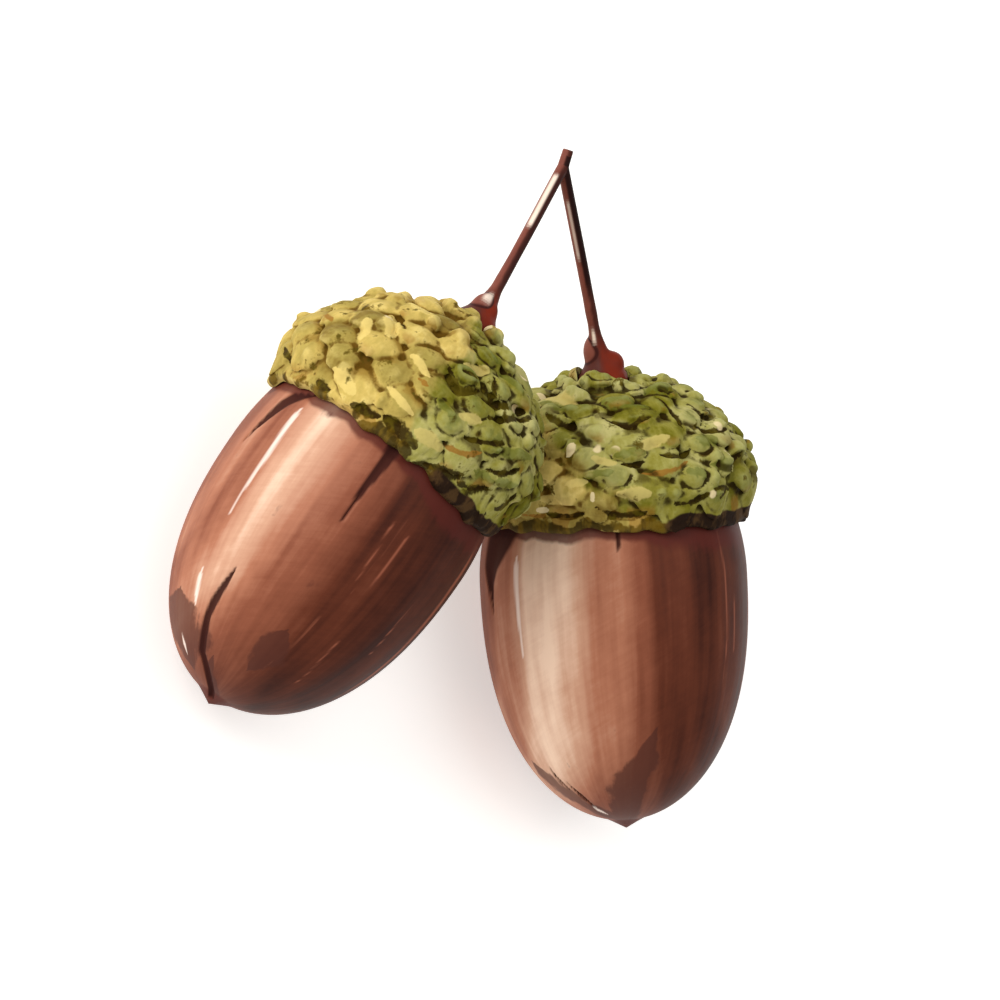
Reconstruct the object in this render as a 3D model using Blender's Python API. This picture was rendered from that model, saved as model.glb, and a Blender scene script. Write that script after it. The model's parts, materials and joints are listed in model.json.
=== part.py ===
"""Two acorns on one forked stalk, as cut from the twig and laid on a table.

Each acorn is built upright on its own axis, in metres, with the middle of the cup's rim at the
origin, the stalk above it and the pointed tip below it. It is then laid down by its placing.
The stalk is built where it lies, from the top of one cup to the fork and back to the other cup.
"""

import math
import random
from dataclasses import dataclass

import bmesh
import bpy
from mathutils import Matrix, Vector, geometry

MM = 0.001

# The gap between two pieces that touch, and the side of the block that stands for the table
SEAT_GAP = 0.3 * MM
TABLE_SIZE = 200 * MM


@dataclass
class Acorn:
    """The sizes of one acorn and the way it lies. Lengths are in metres, angles in degrees."""

    side: str
    seed: int
    # The nut: its largest radius, how far below the rim that is, and how far down the tip is
    nut_radius: float
    nut_widest: float
    nut_length: float
    nut_fullness: float
    # The cup without its scales: its largest radius, how far above the rim that is, and its height
    cup_radius: float
    cup_widest: float
    cup_height: float
    cup_fullness: float
    # The lie: the middle of the rim, the way the stalk end points in plan, clockwise from +Y,
    # how far that end rises, and the turn about the acorn's own axis
    rim_centre: tuple
    heading: float
    pitch: float
    spin: float


RIGHT = Acorn(
    side="right",
    seed=11,
    nut_radius=9.78 * MM,
    nut_widest=3.6 * MM,
    nut_length=21.8 * MM,
    nut_fullness=2.4,
    cup_radius=10.05 * MM,
    cup_widest=3.6 * MM,
    cup_height=10.9 * MM,
    cup_fullness=1.65,
    rim_centre=(11.52 * MM, -1.97 * MM, 10.55 * MM),
    heading=-20.0,
    pitch=8.84,
    spin=118.8,
)
LEFT = Acorn(
    side="left",
    seed=23,
    nut_radius=9.6 * MM,
    nut_widest=5.0 * MM,
    nut_length=22.2 * MM,
    nut_fullness=2.35,
    cup_radius=10.05 * MM,
    cup_widest=2.5 * MM,
    cup_height=10.7 * MM,
    cup_fullness=1.5,
    rim_centre=(-11.83 * MM, -2.30 * MM, 12.91 * MM),
    heading=19.1,
    pitch=22.02,
    spin=110.4,
)

# Colours as seen, in red, green and blue from 0 to 255, and how rough each surface is
NUT_COLOUR = (142, 88, 66)
NUT_ROUGHNESS = 0.32
CUP_COLOUR = (148, 138, 64)
CUP_ROUGHNESS = 0.8
STALK_COLOUR = (132, 84, 72)
STALK_ROUGHNESS = 0.45

# How finely the round pieces are divided, and the edges that stay crisp
NUT_SIDES = 28
NUT_STATIONS = 9
CUP_SIDES = 24
CUP_STATIONS = 6
SOCKET_SIDES = 20
SMOOTH_ANGLE = 40.0

# The nut: its top inside the cup, and how far its two and its three soft lobes stand out
NUT_TOP = 8.6 * MM
TWO_LOBES = 0.008
THREE_LOBES = 0.006

# The small hollow-sided point at the nut's tip, which starts a little inside the nut's end
POINT_RADIUS = 1.1 * MM
POINT_LENGTH = 0.6 * MM
POINT_START = 0.25 * MM
POINT_HOLLOW = 1.6
POINT_STATIONS = 4

# The cup's lip: how far it hangs below the rim line, its radius, and the stations down to it
LIP_DROP = 0.4 * MM
LIP_RADIUS = 9.9 * MM
LIP_SHARES = (0.35, 0.7, 1.0)

# The stalk: its fork and its cut end where they lie, how deep each foot sits in its cup, and how
# far each arm heads straight out of its foot and straight into the fork
FORK = (-2.32 * MM, 21.10 * MM, 17.51 * MM)
CUT_END = (-2.49 * MM, 22.07 * MM, 17.71 * MM)
FOOT_DEPTH = 0.5 * MM
FOOT_RUN = 4.0 * MM
FORK_RUN = 3.0 * MM

# The stalk's radius along an arm, at its cut end, where the left arm ends inside the right one,
# and, in pairs of distance and radius, over the swollen foot
STALK_RADIUS = 0.5 * MM
CUT_RADIUS = 0.58 * MM
HIDDEN_RADIUS = 0.4 * MM
HIDDEN_SHARE = 0.4
FOOT_GIRTH = (
    (0.0 * MM, 1.85 * MM),
    (0.9 * MM, 1.75 * MM),
    (1.5 * MM, 1.4 * MM),
    (2.1 * MM, 1.05 * MM),
    (2.8 * MM, 0.92 * MM),
    (3.4 * MM, 0.86 * MM),
    (4.2 * MM, 0.6 * MM),
)
STALK_SIDES = 10
STALK_STEP = 2.2 * MM
ARM_POINTS = 60

# The scales on a cup: their number, how far above the lip the middle of the first one sits, and
# the golden angle from each scale to the next one up
SCALES = 98
FIRST_SCALE = 1.2 * MM
GOLDEN_ANGLE = math.pi * (3 - math.sqrt(5))
OUTLINE_SAMPLES = 400

# One scale: its length and width against the side of its share of the surface, its thickness,
# the spread and level of its two rings, its crown's level, its taper, and its lean to the rim
SCALE_LENGTH = 1.6
SCALE_WIDTH = 1.26
SCALE_THICKNESS = 0.62 * MM
SCALE_SIDES = 6
SCALE_RINGS = ((1.0, 0.0), (0.68, 0.85))
SCALE_CROWN = 1.15
SCALE_TAPER = 0.2
SCALE_LEAN = 0.06

# How the scales sit: lifted off the cup, and tilted less in the lowest share of the surface,
# next to the rim. In the topmost share they shrink
SCALE_LIFT = 0.1 * MM
SCALE_TILT = 15.0
RIM_TILT = 6.0
RIM_SHARE = 0.2
TOP_SHARE = 0.25
TOP_SHRINK = 0.25

# How far a scale may stray by chance: along the spiral, round the cup, in yaw and tilt in
# degrees, in size and in thickness
STRAY_UP = 0.3
STRAY_ROUND = 0.12
STRAY_YAW = 14.0
STRAY_TILT = 4.0
SIZES = (0.88, 1.12)
THICKNESSES = (0.85, 1.2)


def clear_scene():
    for obj in list(bpy.data.objects):
        bpy.data.objects.remove(obj, do_unlink=True)


def add_object(name, mesh):
    """A new object in the scene that holds the mesh."""
    obj = bpy.data.objects.new(name, mesh)
    bpy.context.scene.collection.objects.link(obj)
    return obj


def turned(name, outline, sides, lobes=None):
    """A closed solid of revolution about Z from (radius, height) points, top to bottom."""
    bm = bmesh.new()
    points = [bm.verts.new((radius, 0, height)) for radius, height in outline]
    edges = [bm.edges.new(pair) for pair in zip(points, points[1:])]
    bmesh.ops.spin(
        bm,
        geom=points + edges,
        cent=(0, 0, 0),
        axis=(0, 0, 1),
        angle=2 * math.pi,
        steps=sides,
        use_merge=True,
    )
    bmesh.ops.remove_doubles(bm, verts=bm.verts, dist=1e-6)
    if lobes:
        for vert in bm.verts:
            stretch = lobes(math.atan2(vert.co.y, vert.co.x))
            vert.co.x *= stretch
            vert.co.y *= stretch
    bmesh.ops.recalc_face_normals(bm, faces=bm.faces)
    mesh = bpy.data.meshes.new(name)
    bm.to_mesh(mesh)
    bm.free()
    return add_object(name, mesh)


def quarter(radius, start, end, fullness, stations):
    """Points of a full quarter oval, from its widest place at start to just short of its end."""
    points = []
    for step in range(stations):
        angle = step / stations * math.pi / 2
        along = math.sin(angle) ** (2 / fullness)
        points.append((radius * math.cos(angle), start + (end - start) * along))
    return points


def nut_lobes(acorn):
    """How far from round the nut is, as a factor on its radius at an angle about its axis."""
    draw = random.Random(acorn.seed)
    two, three = draw.uniform(0, 2 * math.pi), draw.uniform(0, 2 * math.pi)

    def stretch(angle):
        return 1 + TWO_LOBES * math.cos(2 * angle + two) + THREE_LOBES * math.cos(3 * angle + three)

    return stretch


def nut_outline(acorn):
    """The nut's outline from its top, inside the cup, down to its tip."""
    upper = quarter(acorn.nut_radius, -acorn.nut_widest, NUT_TOP, 2.0, NUT_STATIONS)
    end = -acorn.nut_length + POINT_LENGTH
    lower = quarter(acorn.nut_radius, -acorn.nut_widest, end, acorn.nut_fullness, NUT_STATIONS)
    start = end + POINT_START
    lower = [point for point in lower if point[0] > POINT_RADIUS and point[1] > start]
    tip = []
    for step in range(POINT_STATIONS + 1):
        share = step / POINT_STATIONS
        radius = POINT_RADIUS * (1 - share) ** POINT_HOLLOW
        tip.append((radius, start - (POINT_LENGTH + POINT_START) * share))
    return [(0, NUT_TOP)] + upper[:0:-1] + lower + tip


def hollow_outline(acorn):
    """The outline of the cup's hollow: the nut's upper part, grown by the gap round it."""
    radius = acorn.nut_radius + SEAT_GAP
    top = NUT_TOP + SEAT_GAP
    upper = quarter(radius, -acorn.nut_widest, top, 2.0, NUT_STATIONS)
    return [(0, top)] + upper[::-1] + [(0, -acorn.nut_widest)]


def build_nut(acorn):
    return turned(f"nut_{acorn.side}", nut_outline(acorn), NUT_SIDES, nut_lobes(acorn))


def cup_outline(acorn):
    """The cup's outer outline under its scales, from its top down to its lip."""
    upper = quarter(
        acorn.cup_radius, acorn.cup_widest, acorn.cup_height, acorn.cup_fullness, CUP_STATIONS
    )
    lip = []
    for share in LIP_SHARES:
        radius = acorn.cup_radius + (LIP_RADIUS - acorn.cup_radius) * share**2
        lip.append((radius, acorn.cup_widest - (acorn.cup_widest + LIP_DROP) * share))
    return [(0, acorn.cup_height)] + upper[:0:-1] + [upper[0]] + lip


def along_outline(outline):
    """Fine samples of the outline as (area so far, radius, height, slope), from the lip upwards."""
    path = [Vector((radius, height)) for radius, height in reversed(outline)]
    lengths = [(b - a).length for a, b in zip(path, path[1:])]
    total = sum(lengths)
    samples = []
    area = 0.0
    index = 0
    passed = 0.0
    for step in range(OUTLINE_SAMPLES):
        distance = (step + 0.5) / OUTLINE_SAMPLES * total
        while distance > passed + lengths[index]:
            passed += lengths[index]
            index += 1
        start, end = path[index], path[index + 1]
        spot = start.lerp(end, (distance - passed) / lengths[index])
        area += 2 * math.pi * spot.x * total / OUTLINE_SAMPLES
        samples.append((area, spot.x, spot.y, (end - start).normalized()))
    return samples


def scale_frames(acorn):
    """Where each scale sits: a matrix whose X runs to the rim, Y round the cup and Z outwards."""
    draw = random.Random(acorn.seed + 1)
    samples = along_outline(cup_outline(acorn))
    first = next(area for area, _, height, _ in samples if height > FIRST_SCALE - LIP_DROP)
    samples = [(area - first, *rest) for area, *rest in samples if area > first]
    total = samples[-1][0]
    unit = math.sqrt(total / SCALES)
    frames = []
    for index in range(SCALES):
        share = (index + 0.5 + draw.uniform(-STRAY_UP, STRAY_UP)) / SCALES
        _, radius, height, slope = min(samples, key=lambda sample: abs(sample[0] - share * total))
        angle = index * GOLDEN_ANGLE
        angle += draw.uniform(-STRAY_ROUND, STRAY_ROUND) * unit / max(radius, unit)
        turn = Matrix.Rotation(angle, 3, "Z")
        down = turn @ Vector((-slope.x, 0, -slope.y))
        out = turn @ Vector((slope.y, 0, -slope.x))
        across = out.cross(down)
        place = turn @ Vector((radius, 0, height)) + out * SCALE_LIFT
        basis = Matrix((down, across, out)).transposed().to_4x4()
        yaw = Matrix.Rotation(math.radians(draw.uniform(-STRAY_YAW, STRAY_YAW)), 4, "Z")
        lean = RIM_TILT + (SCALE_TILT - RIM_TILT) * min(1.0, share / RIM_SHARE)
        lean += draw.uniform(-STRAY_TILT, STRAY_TILT)
        tilt = Matrix.Rotation(-math.radians(lean), 4, "Y")
        near_top = max(0.0, share - (1 - TOP_SHARE)) / TOP_SHARE
        size = unit * draw.uniform(*SIZES) * (1 - TOP_SHRINK * near_top)
        frames.append((Matrix.Translation(place) @ basis @ yaw @ tilt, size, draw.uniform(*THICKNESSES)))
    return frames


def add_scale(collection, number, frame, size, thick):
    """One scale: a thick, domed tongue with a rounded end, its root sunk in the cup."""
    bm = bmesh.new()
    length, width, height = size * SCALE_LENGTH, size * SCALE_WIDTH, SCALE_THICKNESS * thick
    rings = []
    for spread, level in SCALE_RINGS:
        ring = []
        for corner in range(SCALE_SIDES):
            angle = (corner + 0.5) / SCALE_SIDES * 2 * math.pi
            along, beside = math.cos(angle), math.sin(angle)
            beside *= 1 - SCALE_TAPER * max(0.0, along)
            spot = (along * length / 2 * spread, beside * width / 2 * spread, level * height)
            ring.append(bm.verts.new(spot))
        rings.append(ring)
    root = bm.verts.new((-SCALE_LEAN * length, 0, -height))
    crown = bm.verts.new((SCALE_LEAN * length, 0, SCALE_CROWN * height))
    for corner in range(SCALE_SIDES):
        following = (corner + 1) % SCALE_SIDES
        low, high = rings[0][corner], rings[1][corner]
        bm.faces.new((low, rings[0][following], rings[1][following], high))
        bm.faces.new((rings[0][following], low, root))
        bm.faces.new((high, rings[1][following], crown))
    bm.transform(frame)
    mesh = bpy.data.meshes.new(f"scale_{number}")
    bm.to_mesh(mesh)
    bm.free()
    collection.objects.link(bpy.data.objects.new(mesh.name, mesh))


def apply_boolean(obj, operation, cutter=None, collection=None):
    modifier = obj.modifiers.new(operation.lower(), "BOOLEAN")
    modifier.operation = operation
    modifier.solver = "MANIFOLD"
    if collection:
        modifier.operand_type = "COLLECTION"
        modifier.collection = collection
    else:
        modifier.object = cutter
    bpy.context.view_layer.objects.active = obj
    bpy.ops.object.modifier_apply(modifier=modifier.name)


def remove(obj):
    bpy.data.objects.remove(obj, do_unlink=True)


def keep_outer_skin(obj):
    """Drops the sealed hollows and loose scraps that fusing leaves, and keeps the outer skin."""
    bm = bmesh.new()
    bm.from_mesh(obj.data)
    skins = []
    unseen = set(bm.verts)
    while unseen:
        skin = {unseen.pop()}
        edge_of_skin = list(skin)
        while edge_of_skin:
            vert = edge_of_skin.pop()
            for near in (edge.other_vert(vert) for edge in vert.link_edges):
                if near in unseen:
                    unseen.discard(near)
                    skin.add(near)
                    edge_of_skin.append(near)
        skins.append(skin)
    skins.sort(key=len)
    for skin in skins[:-1]:
        bmesh.ops.delete(bm, geom=list(skin), context="VERTS")
    bm.to_mesh(obj.data)
    bm.free()


def subtract(obj, tool):
    """Cuts the tool out of the object and removes the tool."""
    apply_boolean(obj, "DIFFERENCE", cutter=tool)
    remove(tool)


def build_cup(acorn):
    """The cup with its scales fused on, hollowed for the nut and for the foot of the stalk."""
    cup = turned(f"cup_{acorn.side}", cup_outline(acorn) + [(0, -LIP_DROP)], CUP_SIDES)
    scales = bpy.data.collections.new(f"scales_{acorn.side}")
    bpy.context.scene.collection.children.link(scales)
    for number, (frame, size, thick) in enumerate(scale_frames(acorn)):
        add_scale(scales, number, frame, size, thick)
    apply_boolean(cup, "UNION", collection=scales)
    for scale in list(scales.objects):
        remove(scale)
    bpy.data.collections.remove(scales)
    subtract(cup, turned("hollow", hollow_outline(acorn), NUT_SIDES, nut_lobes(acorn)))
    radius = FOOT_GIRTH[0][1] + SEAT_GAP
    floor = acorn.cup_height - FOOT_DEPTH - SEAT_GAP
    top = acorn.cup_height + FOOT_RUN
    socket = [(0, top), (radius, top), (radius, floor), (0, floor)]
    subtract(cup, turned("socket", socket, SOCKET_SIDES))
    keep_outer_skin(cup)
    return cup


def lie(acorn):
    """The matrix that lays the acorn down."""
    return (
        Matrix.Translation(acorn.rim_centre)
        @ Matrix.Rotation(-math.radians(acorn.heading), 4, "Z")
        @ Matrix.Rotation(-math.radians(90 - acorn.pitch), 4, "X")
        @ Matrix.Rotation(math.radians(acorn.spin), 4, "Z")
    )


def arm_path(acorn):
    """Fine points from the foot in the cup's top, along the acorn's axis, round to the fork."""
    place = lie(acorn)
    foot = place @ Vector((0, 0, acorn.cup_height - FOOT_DEPTH))
    axis = place.to_3x3() @ Vector((0, 0, 1))
    fork = Vector(FORK)
    onward = (fork - foot).normalized()
    bends = (foot, foot + axis * FOOT_RUN, fork - onward * FORK_RUN, fork)
    return geometry.interpolate_bezier(*bends, ARM_POINTS)


def walk(path, distance):
    """The point and the direction at a distance along a path."""
    for start, end in zip(path, path[1:]):
        length = (end - start).length
        if distance <= length or end is path[-1]:
            return start.lerp(end, distance / length), (end - start).normalized()
        distance -= length


def arm_rings(acorn, end, end_radius):
    """(point, direction, radius) of each ring of one arm, from its foot to past the fork."""
    path = arm_path(acorn)
    length = sum((b - a).length for a, b in zip(path, path[1:]))
    rings = [(*walk(path, distance), radius) for distance, radius in FOOT_GIRTH]
    start = FOOT_GIRTH[-1][0]
    steps = round((length - start) / STALK_STEP)
    for step in range(1, steps + 1):
        distance = start + (length - start) * step / steps
        rings.append((*walk(path, distance), STALK_RADIUS))
    rings.append((end, (end - path[-1]).normalized(), end_radius))
    return rings


def add_arm(name, rings):
    """A closed round tube through the rings, each square to its own direction."""
    bm = bmesh.new()
    side = rings[0][1].orthogonal()
    loops = []
    for point, direction, radius in rings:
        side = (side - direction * side.dot(direction)).normalized()
        across = direction.cross(side)
        loop = []
        for corner in range(STALK_SIDES):
            angle = corner / STALK_SIDES * 2 * math.pi
            offset = side * math.cos(angle) + across * math.sin(angle)
            loop.append(bm.verts.new(point + offset * radius))
        loops.append(loop)
    for lower, upper in zip(loops, loops[1:]):
        for corner in range(STALK_SIDES):
            following = (corner + 1) % STALK_SIDES
            bm.faces.new((lower[corner], lower[following], upper[following], upper[corner]))
    bm.faces.new(loops[0][::-1])
    bm.faces.new(loops[-1])
    mesh = bpy.data.meshes.new(name)
    bm.to_mesh(mesh)
    bm.free()
    return add_object(name, mesh)


def build_stalk():
    """Both arms of the stalk, grown together at the fork."""
    fork, end = Vector(FORK), Vector(CUT_END)
    stalk = add_arm("stalk", arm_rings(RIGHT, end, CUT_RADIUS))
    hidden = fork.lerp(end, HIDDEN_SHARE)
    other = add_arm("arm", arm_rings(LEFT, hidden, HIDDEN_RADIUS))
    apply_boolean(stalk, "UNION", cutter=other)
    remove(other)
    return stalk


def flatten_foot(obj):
    """Cuts off what lies below the table, which leaves a small flat spot to rest on."""
    bpy.ops.mesh.primitive_cube_add(size=TABLE_SIZE, location=(0, 0, -TABLE_SIZE / 2))
    subtract(obj, bpy.context.object)


def linear(colour):
    """The colour as seen, turned into the linear values that a material takes."""
    shares = [value / 255 for value in colour]
    return [share / 12.92 if share <= 0.04045 else ((share + 0.055) / 1.055) ** 2.4 for share in shares]


def finish(obj, colour, roughness):
    """Gives the piece its own material and smooth shading."""
    material = bpy.data.materials.new(obj.name)
    material.use_nodes = True
    shader = material.node_tree.nodes["Principled BSDF"]
    shader.inputs["Base Color"].default_value = (*linear(colour), 1)
    shader.inputs["Roughness"].default_value = roughness
    shader.inputs["Metallic"].default_value = 0
    obj.data.materials.clear()
    obj.data.materials.append(material)
    obj.data.shade_smooth()
    obj.data.set_sharp_from_angle(angle=math.radians(SMOOTH_ANGLE))


def main():
    clear_scene()
    for acorn in (LEFT, RIGHT):
        nut, cup = build_nut(acorn), build_cup(acorn)
        for piece in (nut, cup):
            piece.matrix_world = lie(acorn)
            flatten_foot(piece)
        finish(nut, NUT_COLOUR, NUT_ROUGHNESS)
        finish(cup, CUP_COLOUR, CUP_ROUGHNESS)
    finish(build_stalk(), STALK_COLOUR, STALK_ROUGHNESS)


main()
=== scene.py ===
# %% [markdown]
# Two acorns on one forked stalk.
# This lesson dresses a finished CAD model of a pair of acorns that lie on a table. The CAD model
# gives the sizes and the places. Here each piece is modelled again with far more detail, in the
# same place: two glossy nuts, two knobbly cups and one thin stalk that forks to both of them.
# Lengths are in metres, as in the CAD model, and MM turns millimetres into metres.

# %% The fixed frame
import json
import math
import random
from dataclasses import dataclass

import bmesh
import bpy
import numpy as np
from mathutils import Matrix, Vector, geometry, noise

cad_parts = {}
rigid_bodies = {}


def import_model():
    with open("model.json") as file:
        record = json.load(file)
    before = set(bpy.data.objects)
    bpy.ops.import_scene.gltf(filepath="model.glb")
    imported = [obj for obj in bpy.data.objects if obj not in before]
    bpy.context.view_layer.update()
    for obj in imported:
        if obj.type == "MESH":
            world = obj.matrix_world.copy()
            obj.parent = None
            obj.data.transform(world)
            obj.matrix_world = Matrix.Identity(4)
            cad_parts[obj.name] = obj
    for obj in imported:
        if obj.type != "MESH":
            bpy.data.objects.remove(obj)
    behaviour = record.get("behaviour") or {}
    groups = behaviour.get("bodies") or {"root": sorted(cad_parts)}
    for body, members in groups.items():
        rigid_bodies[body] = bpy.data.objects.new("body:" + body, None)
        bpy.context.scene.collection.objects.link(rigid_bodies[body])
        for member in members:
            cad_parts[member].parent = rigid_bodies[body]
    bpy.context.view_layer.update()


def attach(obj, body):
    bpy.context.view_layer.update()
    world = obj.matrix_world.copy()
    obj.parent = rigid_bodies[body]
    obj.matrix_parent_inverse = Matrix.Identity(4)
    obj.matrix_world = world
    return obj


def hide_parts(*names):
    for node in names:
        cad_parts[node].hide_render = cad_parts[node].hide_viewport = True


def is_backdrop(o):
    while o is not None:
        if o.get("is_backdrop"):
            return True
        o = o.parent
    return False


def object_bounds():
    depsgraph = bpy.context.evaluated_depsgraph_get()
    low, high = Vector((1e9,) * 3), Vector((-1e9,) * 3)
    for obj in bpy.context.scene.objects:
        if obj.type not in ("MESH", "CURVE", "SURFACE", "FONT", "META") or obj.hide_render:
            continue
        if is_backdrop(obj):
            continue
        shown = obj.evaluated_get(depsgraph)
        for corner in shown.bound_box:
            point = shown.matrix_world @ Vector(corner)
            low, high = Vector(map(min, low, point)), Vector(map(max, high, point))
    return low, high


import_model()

MM = 0.001
TINY = 1e-6

# %% [markdown]
# The camera.
# The photograph shows the pair hanging from its stalk. Lying on a table, the same pair looks like
# that from obliquely above, with the camera rolled so that the stalk points up in the picture.
# A camera can be placed by a matrix whose columns are the picture's right, its up, and the way
# from the object back to the camera. A long lens far away keeps the two nuts at one scale.

# %% Place the camera
TO_CAMERA = Vector((-0.60665, -0.25174, 0.75406)).normalized()
PICTURE_UP = Vector((-0.24697, 0.96128, 0.12224))
PICTURE_RIGHT = PICTURE_UP.cross(TO_CAMERA).normalized()
PICTURE_UP = TO_CAMERA.cross(PICTURE_RIGHT)
AIM = Vector((0.027, -2.796, 11.655)) * MM
CAMERA_DISTANCE = 0.88
SENSOR = 36.0
PICTURE_PIXELS = 1000
PIXEL = 0.072 * MM
FAR_CLIP = 20

camera = bpy.data.objects.new("camera", bpy.data.cameras.new("camera"))
bpy.context.scene.collection.objects.link(camera)
camera.matrix_world = Matrix.Translation(AIM + TO_CAMERA * CAMERA_DISTANCE) @ Matrix(
    (PICTURE_RIGHT, PICTURE_UP, TO_CAMERA)
).transposed().to_4x4()
camera.data.sensor_width = SENSOR
camera.data.lens = SENSOR * CAMERA_DISTANCE / (PICTURE_PIXELS * PIXEL)
camera.data.clip_end = FAR_CLIP
bpy.context.scene.camera = camera
print("lens in mm:", round(camera.data.lens, 1))

# %% [markdown]
# The two acorns.
# Every acorn is modelled upright on its own axis: the middle of the cup's rim is the origin, the
# stalk is above it and the pointed tip below it. Its placing then lays it down on the table.
# The sizes are the CAD model's own, so that each new piece fills the place of its CAD node.

# %% The sizes of each acorn and the way it lies
@dataclass
class Acorn:
    """The sizes of one acorn and the way it lies, with its turns in degrees. front is the angle
    round its axis of the side that the photograph shows, and lip_drop is how far the cup's lip
    hangs below the rim's middle, or ends above it when it is less than 0."""

    side: str
    seed: int
    nut_radius: float
    nut_widest: float
    nut_length: float
    nut_fullness: float
    cup_radius: float
    cup_widest: float
    cup_height: float
    cup_fullness: float
    rim_centre: tuple
    heading: float
    pitch: float
    spin: float
    front: float
    lip_drop: float

    def lie(self):
        """The matrix that lays the upright acorn down in its place."""
        return (
            Matrix.Translation(self.rim_centre)
            @ Matrix.Rotation(-math.radians(self.heading), 4, "Z")
            @ Matrix.Rotation(-math.radians(90 - self.pitch), 4, "X")
            @ Matrix.Rotation(math.radians(self.spin), 4, "Z")
        )


RIGHT = Acorn(
    side="right",
    seed=11,
    nut_radius=9.78 * MM,
    nut_widest=3.6 * MM,
    nut_length=21.8 * MM,
    nut_fullness=2.4,
    cup_radius=10.05 * MM,
    cup_widest=3.6 * MM,
    cup_height=10.9 * MM,
    cup_fullness=1.65,
    rim_centre=(11.52 * MM, -1.97 * MM, 10.55 * MM),
    heading=-20.0,
    pitch=8.84,
    spin=118.8,
    front=110.0,
    lip_drop=-0.9 * MM,
)
LEFT = Acorn(
    side="left",
    seed=23,
    nut_radius=9.6 * MM,
    nut_widest=5.0 * MM,
    nut_length=22.2 * MM,
    nut_fullness=2.35,
    cup_radius=10.05 * MM,
    cup_widest=2.5 * MM,
    cup_height=10.7 * MM,
    cup_fullness=1.5,
    rim_centre=(-11.83 * MM, -2.30 * MM, 12.91 * MM),
    heading=19.1,
    pitch=22.02,
    spin=110.4,
    front=130.0,
    lip_drop=0.6 * MM,
)
for acorn in (LEFT, RIGHT):
    print(acorn.side, "nut", round(2 * acorn.nut_radius / MM, 1), "mm across")

# %% [markdown]
# Small tools for modelling.
# An operator works on whatever is selected, so the selection is always made first. Points can be
# read and written as one array, which is how the sculpting further down moves many at once. A
# number noted on each point goes along with the mesh, and the finishes read it again later.

# %% Select, edit, read and write
def only(obj):
    """Makes this the one selected and active object."""
    bpy.ops.object.select_all(action="DESELECT")
    obj.select_set(True)
    bpy.context.view_layer.objects.active = obj


def choose(obj, chosen):
    """While the object is edited, selects just the points for which chosen is true."""
    bpy.ops.mesh.select_all(action="DESELECT")
    bm = bmesh.from_edit_mesh(obj.data)
    for vert in bm.verts:
        vert.select = chosen(vert.co)
    bm.select_flush(True)
    bmesh.update_edit_mesh(obj.data)


def edit(obj, chosen):
    """Opens the object for editing, with just the points selected for which chosen is true."""
    only(obj)
    bpy.ops.object.mode_set(mode="EDIT")
    bpy.ops.mesh.select_mode(type="VERT")
    choose(obj, chosen)


def close_edit():
    bpy.ops.object.mode_set(mode="OBJECT")


def read_points(obj, field="co"):
    """One row for each point: its place, or what another field of it says."""
    values = np.empty(len(obj.data.vertices) * 3, np.float32)
    obj.data.vertices.foreach_get(field, values)
    return values.reshape(-1, 3).astype(float)


def read_normals(obj):
    return read_points(obj, "normal")


def write_points(obj, points):
    obj.data.vertices.foreach_set("co", points.astype(np.float32).ravel())
    obj.data.update()


def note(obj, **columns):
    """Stores one number, or one vector, for each point of the object under each name."""
    for name, values in columns.items():
        kind, field = ("FLOAT_VECTOR", "vector") if values.ndim == 2 else ("FLOAT", "value")
        attribute = obj.data.attributes.new(name, kind, "POINT")
        attribute.data.foreach_set(field, values.astype(np.float32).ravel())


def smooth_step(low, high, values):
    """0 below low, 1 above high, and a soft S between them."""
    share = np.clip((values - low) / (high - low), 0, 1)
    return share * share * (3 - 2 * share)


# %% Turn an outline about the upright axis
ANY_RADIUS = 10 * MM


def turned(name, profile, stations, sides):
    """A closed solid of revolution. profile gives (radius, height) at each angle in degrees,
    from -90 at the bottom to 90 at the top. It starts from half a circle of any radius."""
    bpy.ops.object.select_all(action="DESELECT")
    bpy.ops.mesh.primitive_circle_add(
        vertices=4 * stations, radius=ANY_RADIUS, rotation=(math.pi / 2, 0, 0)
    )
    obj = bpy.context.object
    obj.name = name
    bpy.ops.object.transform_apply(location=True, rotation=True, scale=True)
    edit(obj, lambda place: place.x < -TINY)
    bpy.ops.mesh.delete(type="VERT")
    bm = bmesh.from_edit_mesh(obj.data)
    for vert in bm.verts:
        radius, height = profile(math.degrees(math.atan2(vert.co.z, max(vert.co.x, 0))))
        vert.co = (max(radius, 0), 0, height)
    bmesh.update_edit_mesh(obj.data)
    bpy.ops.mesh.select_all(action="SELECT")
    bpy.ops.mesh.spin(steps=sides, angle=2 * math.pi, center=(0, 0, 0), axis=(0, 0, 1))
    bpy.ops.mesh.select_all(action="SELECT")
    bpy.ops.mesh.remove_doubles(threshold=TINY)
    bpy.ops.mesh.normals_make_consistent(inside=False)
    close_edit()
    return obj


# %% Apply a modifier, and lay a finished piece down
def apply_modifier(obj, kind, **settings):
    only(obj)
    modifier = obj.modifiers.new(kind.lower(), kind)
    for name, value in settings.items():
        setattr(modifier, name, value)
    bpy.ops.object.modifier_apply(modifier=modifier.name)


def cut_away(obj, tool):
    """Cuts the tool out of the object and removes the tool."""
    apply_modifier(obj, "BOOLEAN", operation="DIFFERENCE", solver="MANIFOLD", object=tool)
    bpy.data.objects.remove(tool, do_unlink=True)


def lay_down(obj, acorn):
    """Moves the upright piece to its place, and cuts a flat spot where it meets the table."""
    only(obj)
    obj.matrix_world = acorn.lie()
    bpy.ops.object.transform_apply(location=True, rotation=True, scale=True)
    if read_points(obj)[:, 2].min() < 0:
        edit(obj, lambda place: True)
        bpy.ops.mesh.bisect(
            plane_co=(0, 0, 0),
            plane_no=(0, 0, 1),
            use_fill=True,
            clear_inner=True,
            threshold=TINY,
        )
        close_edit()


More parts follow.
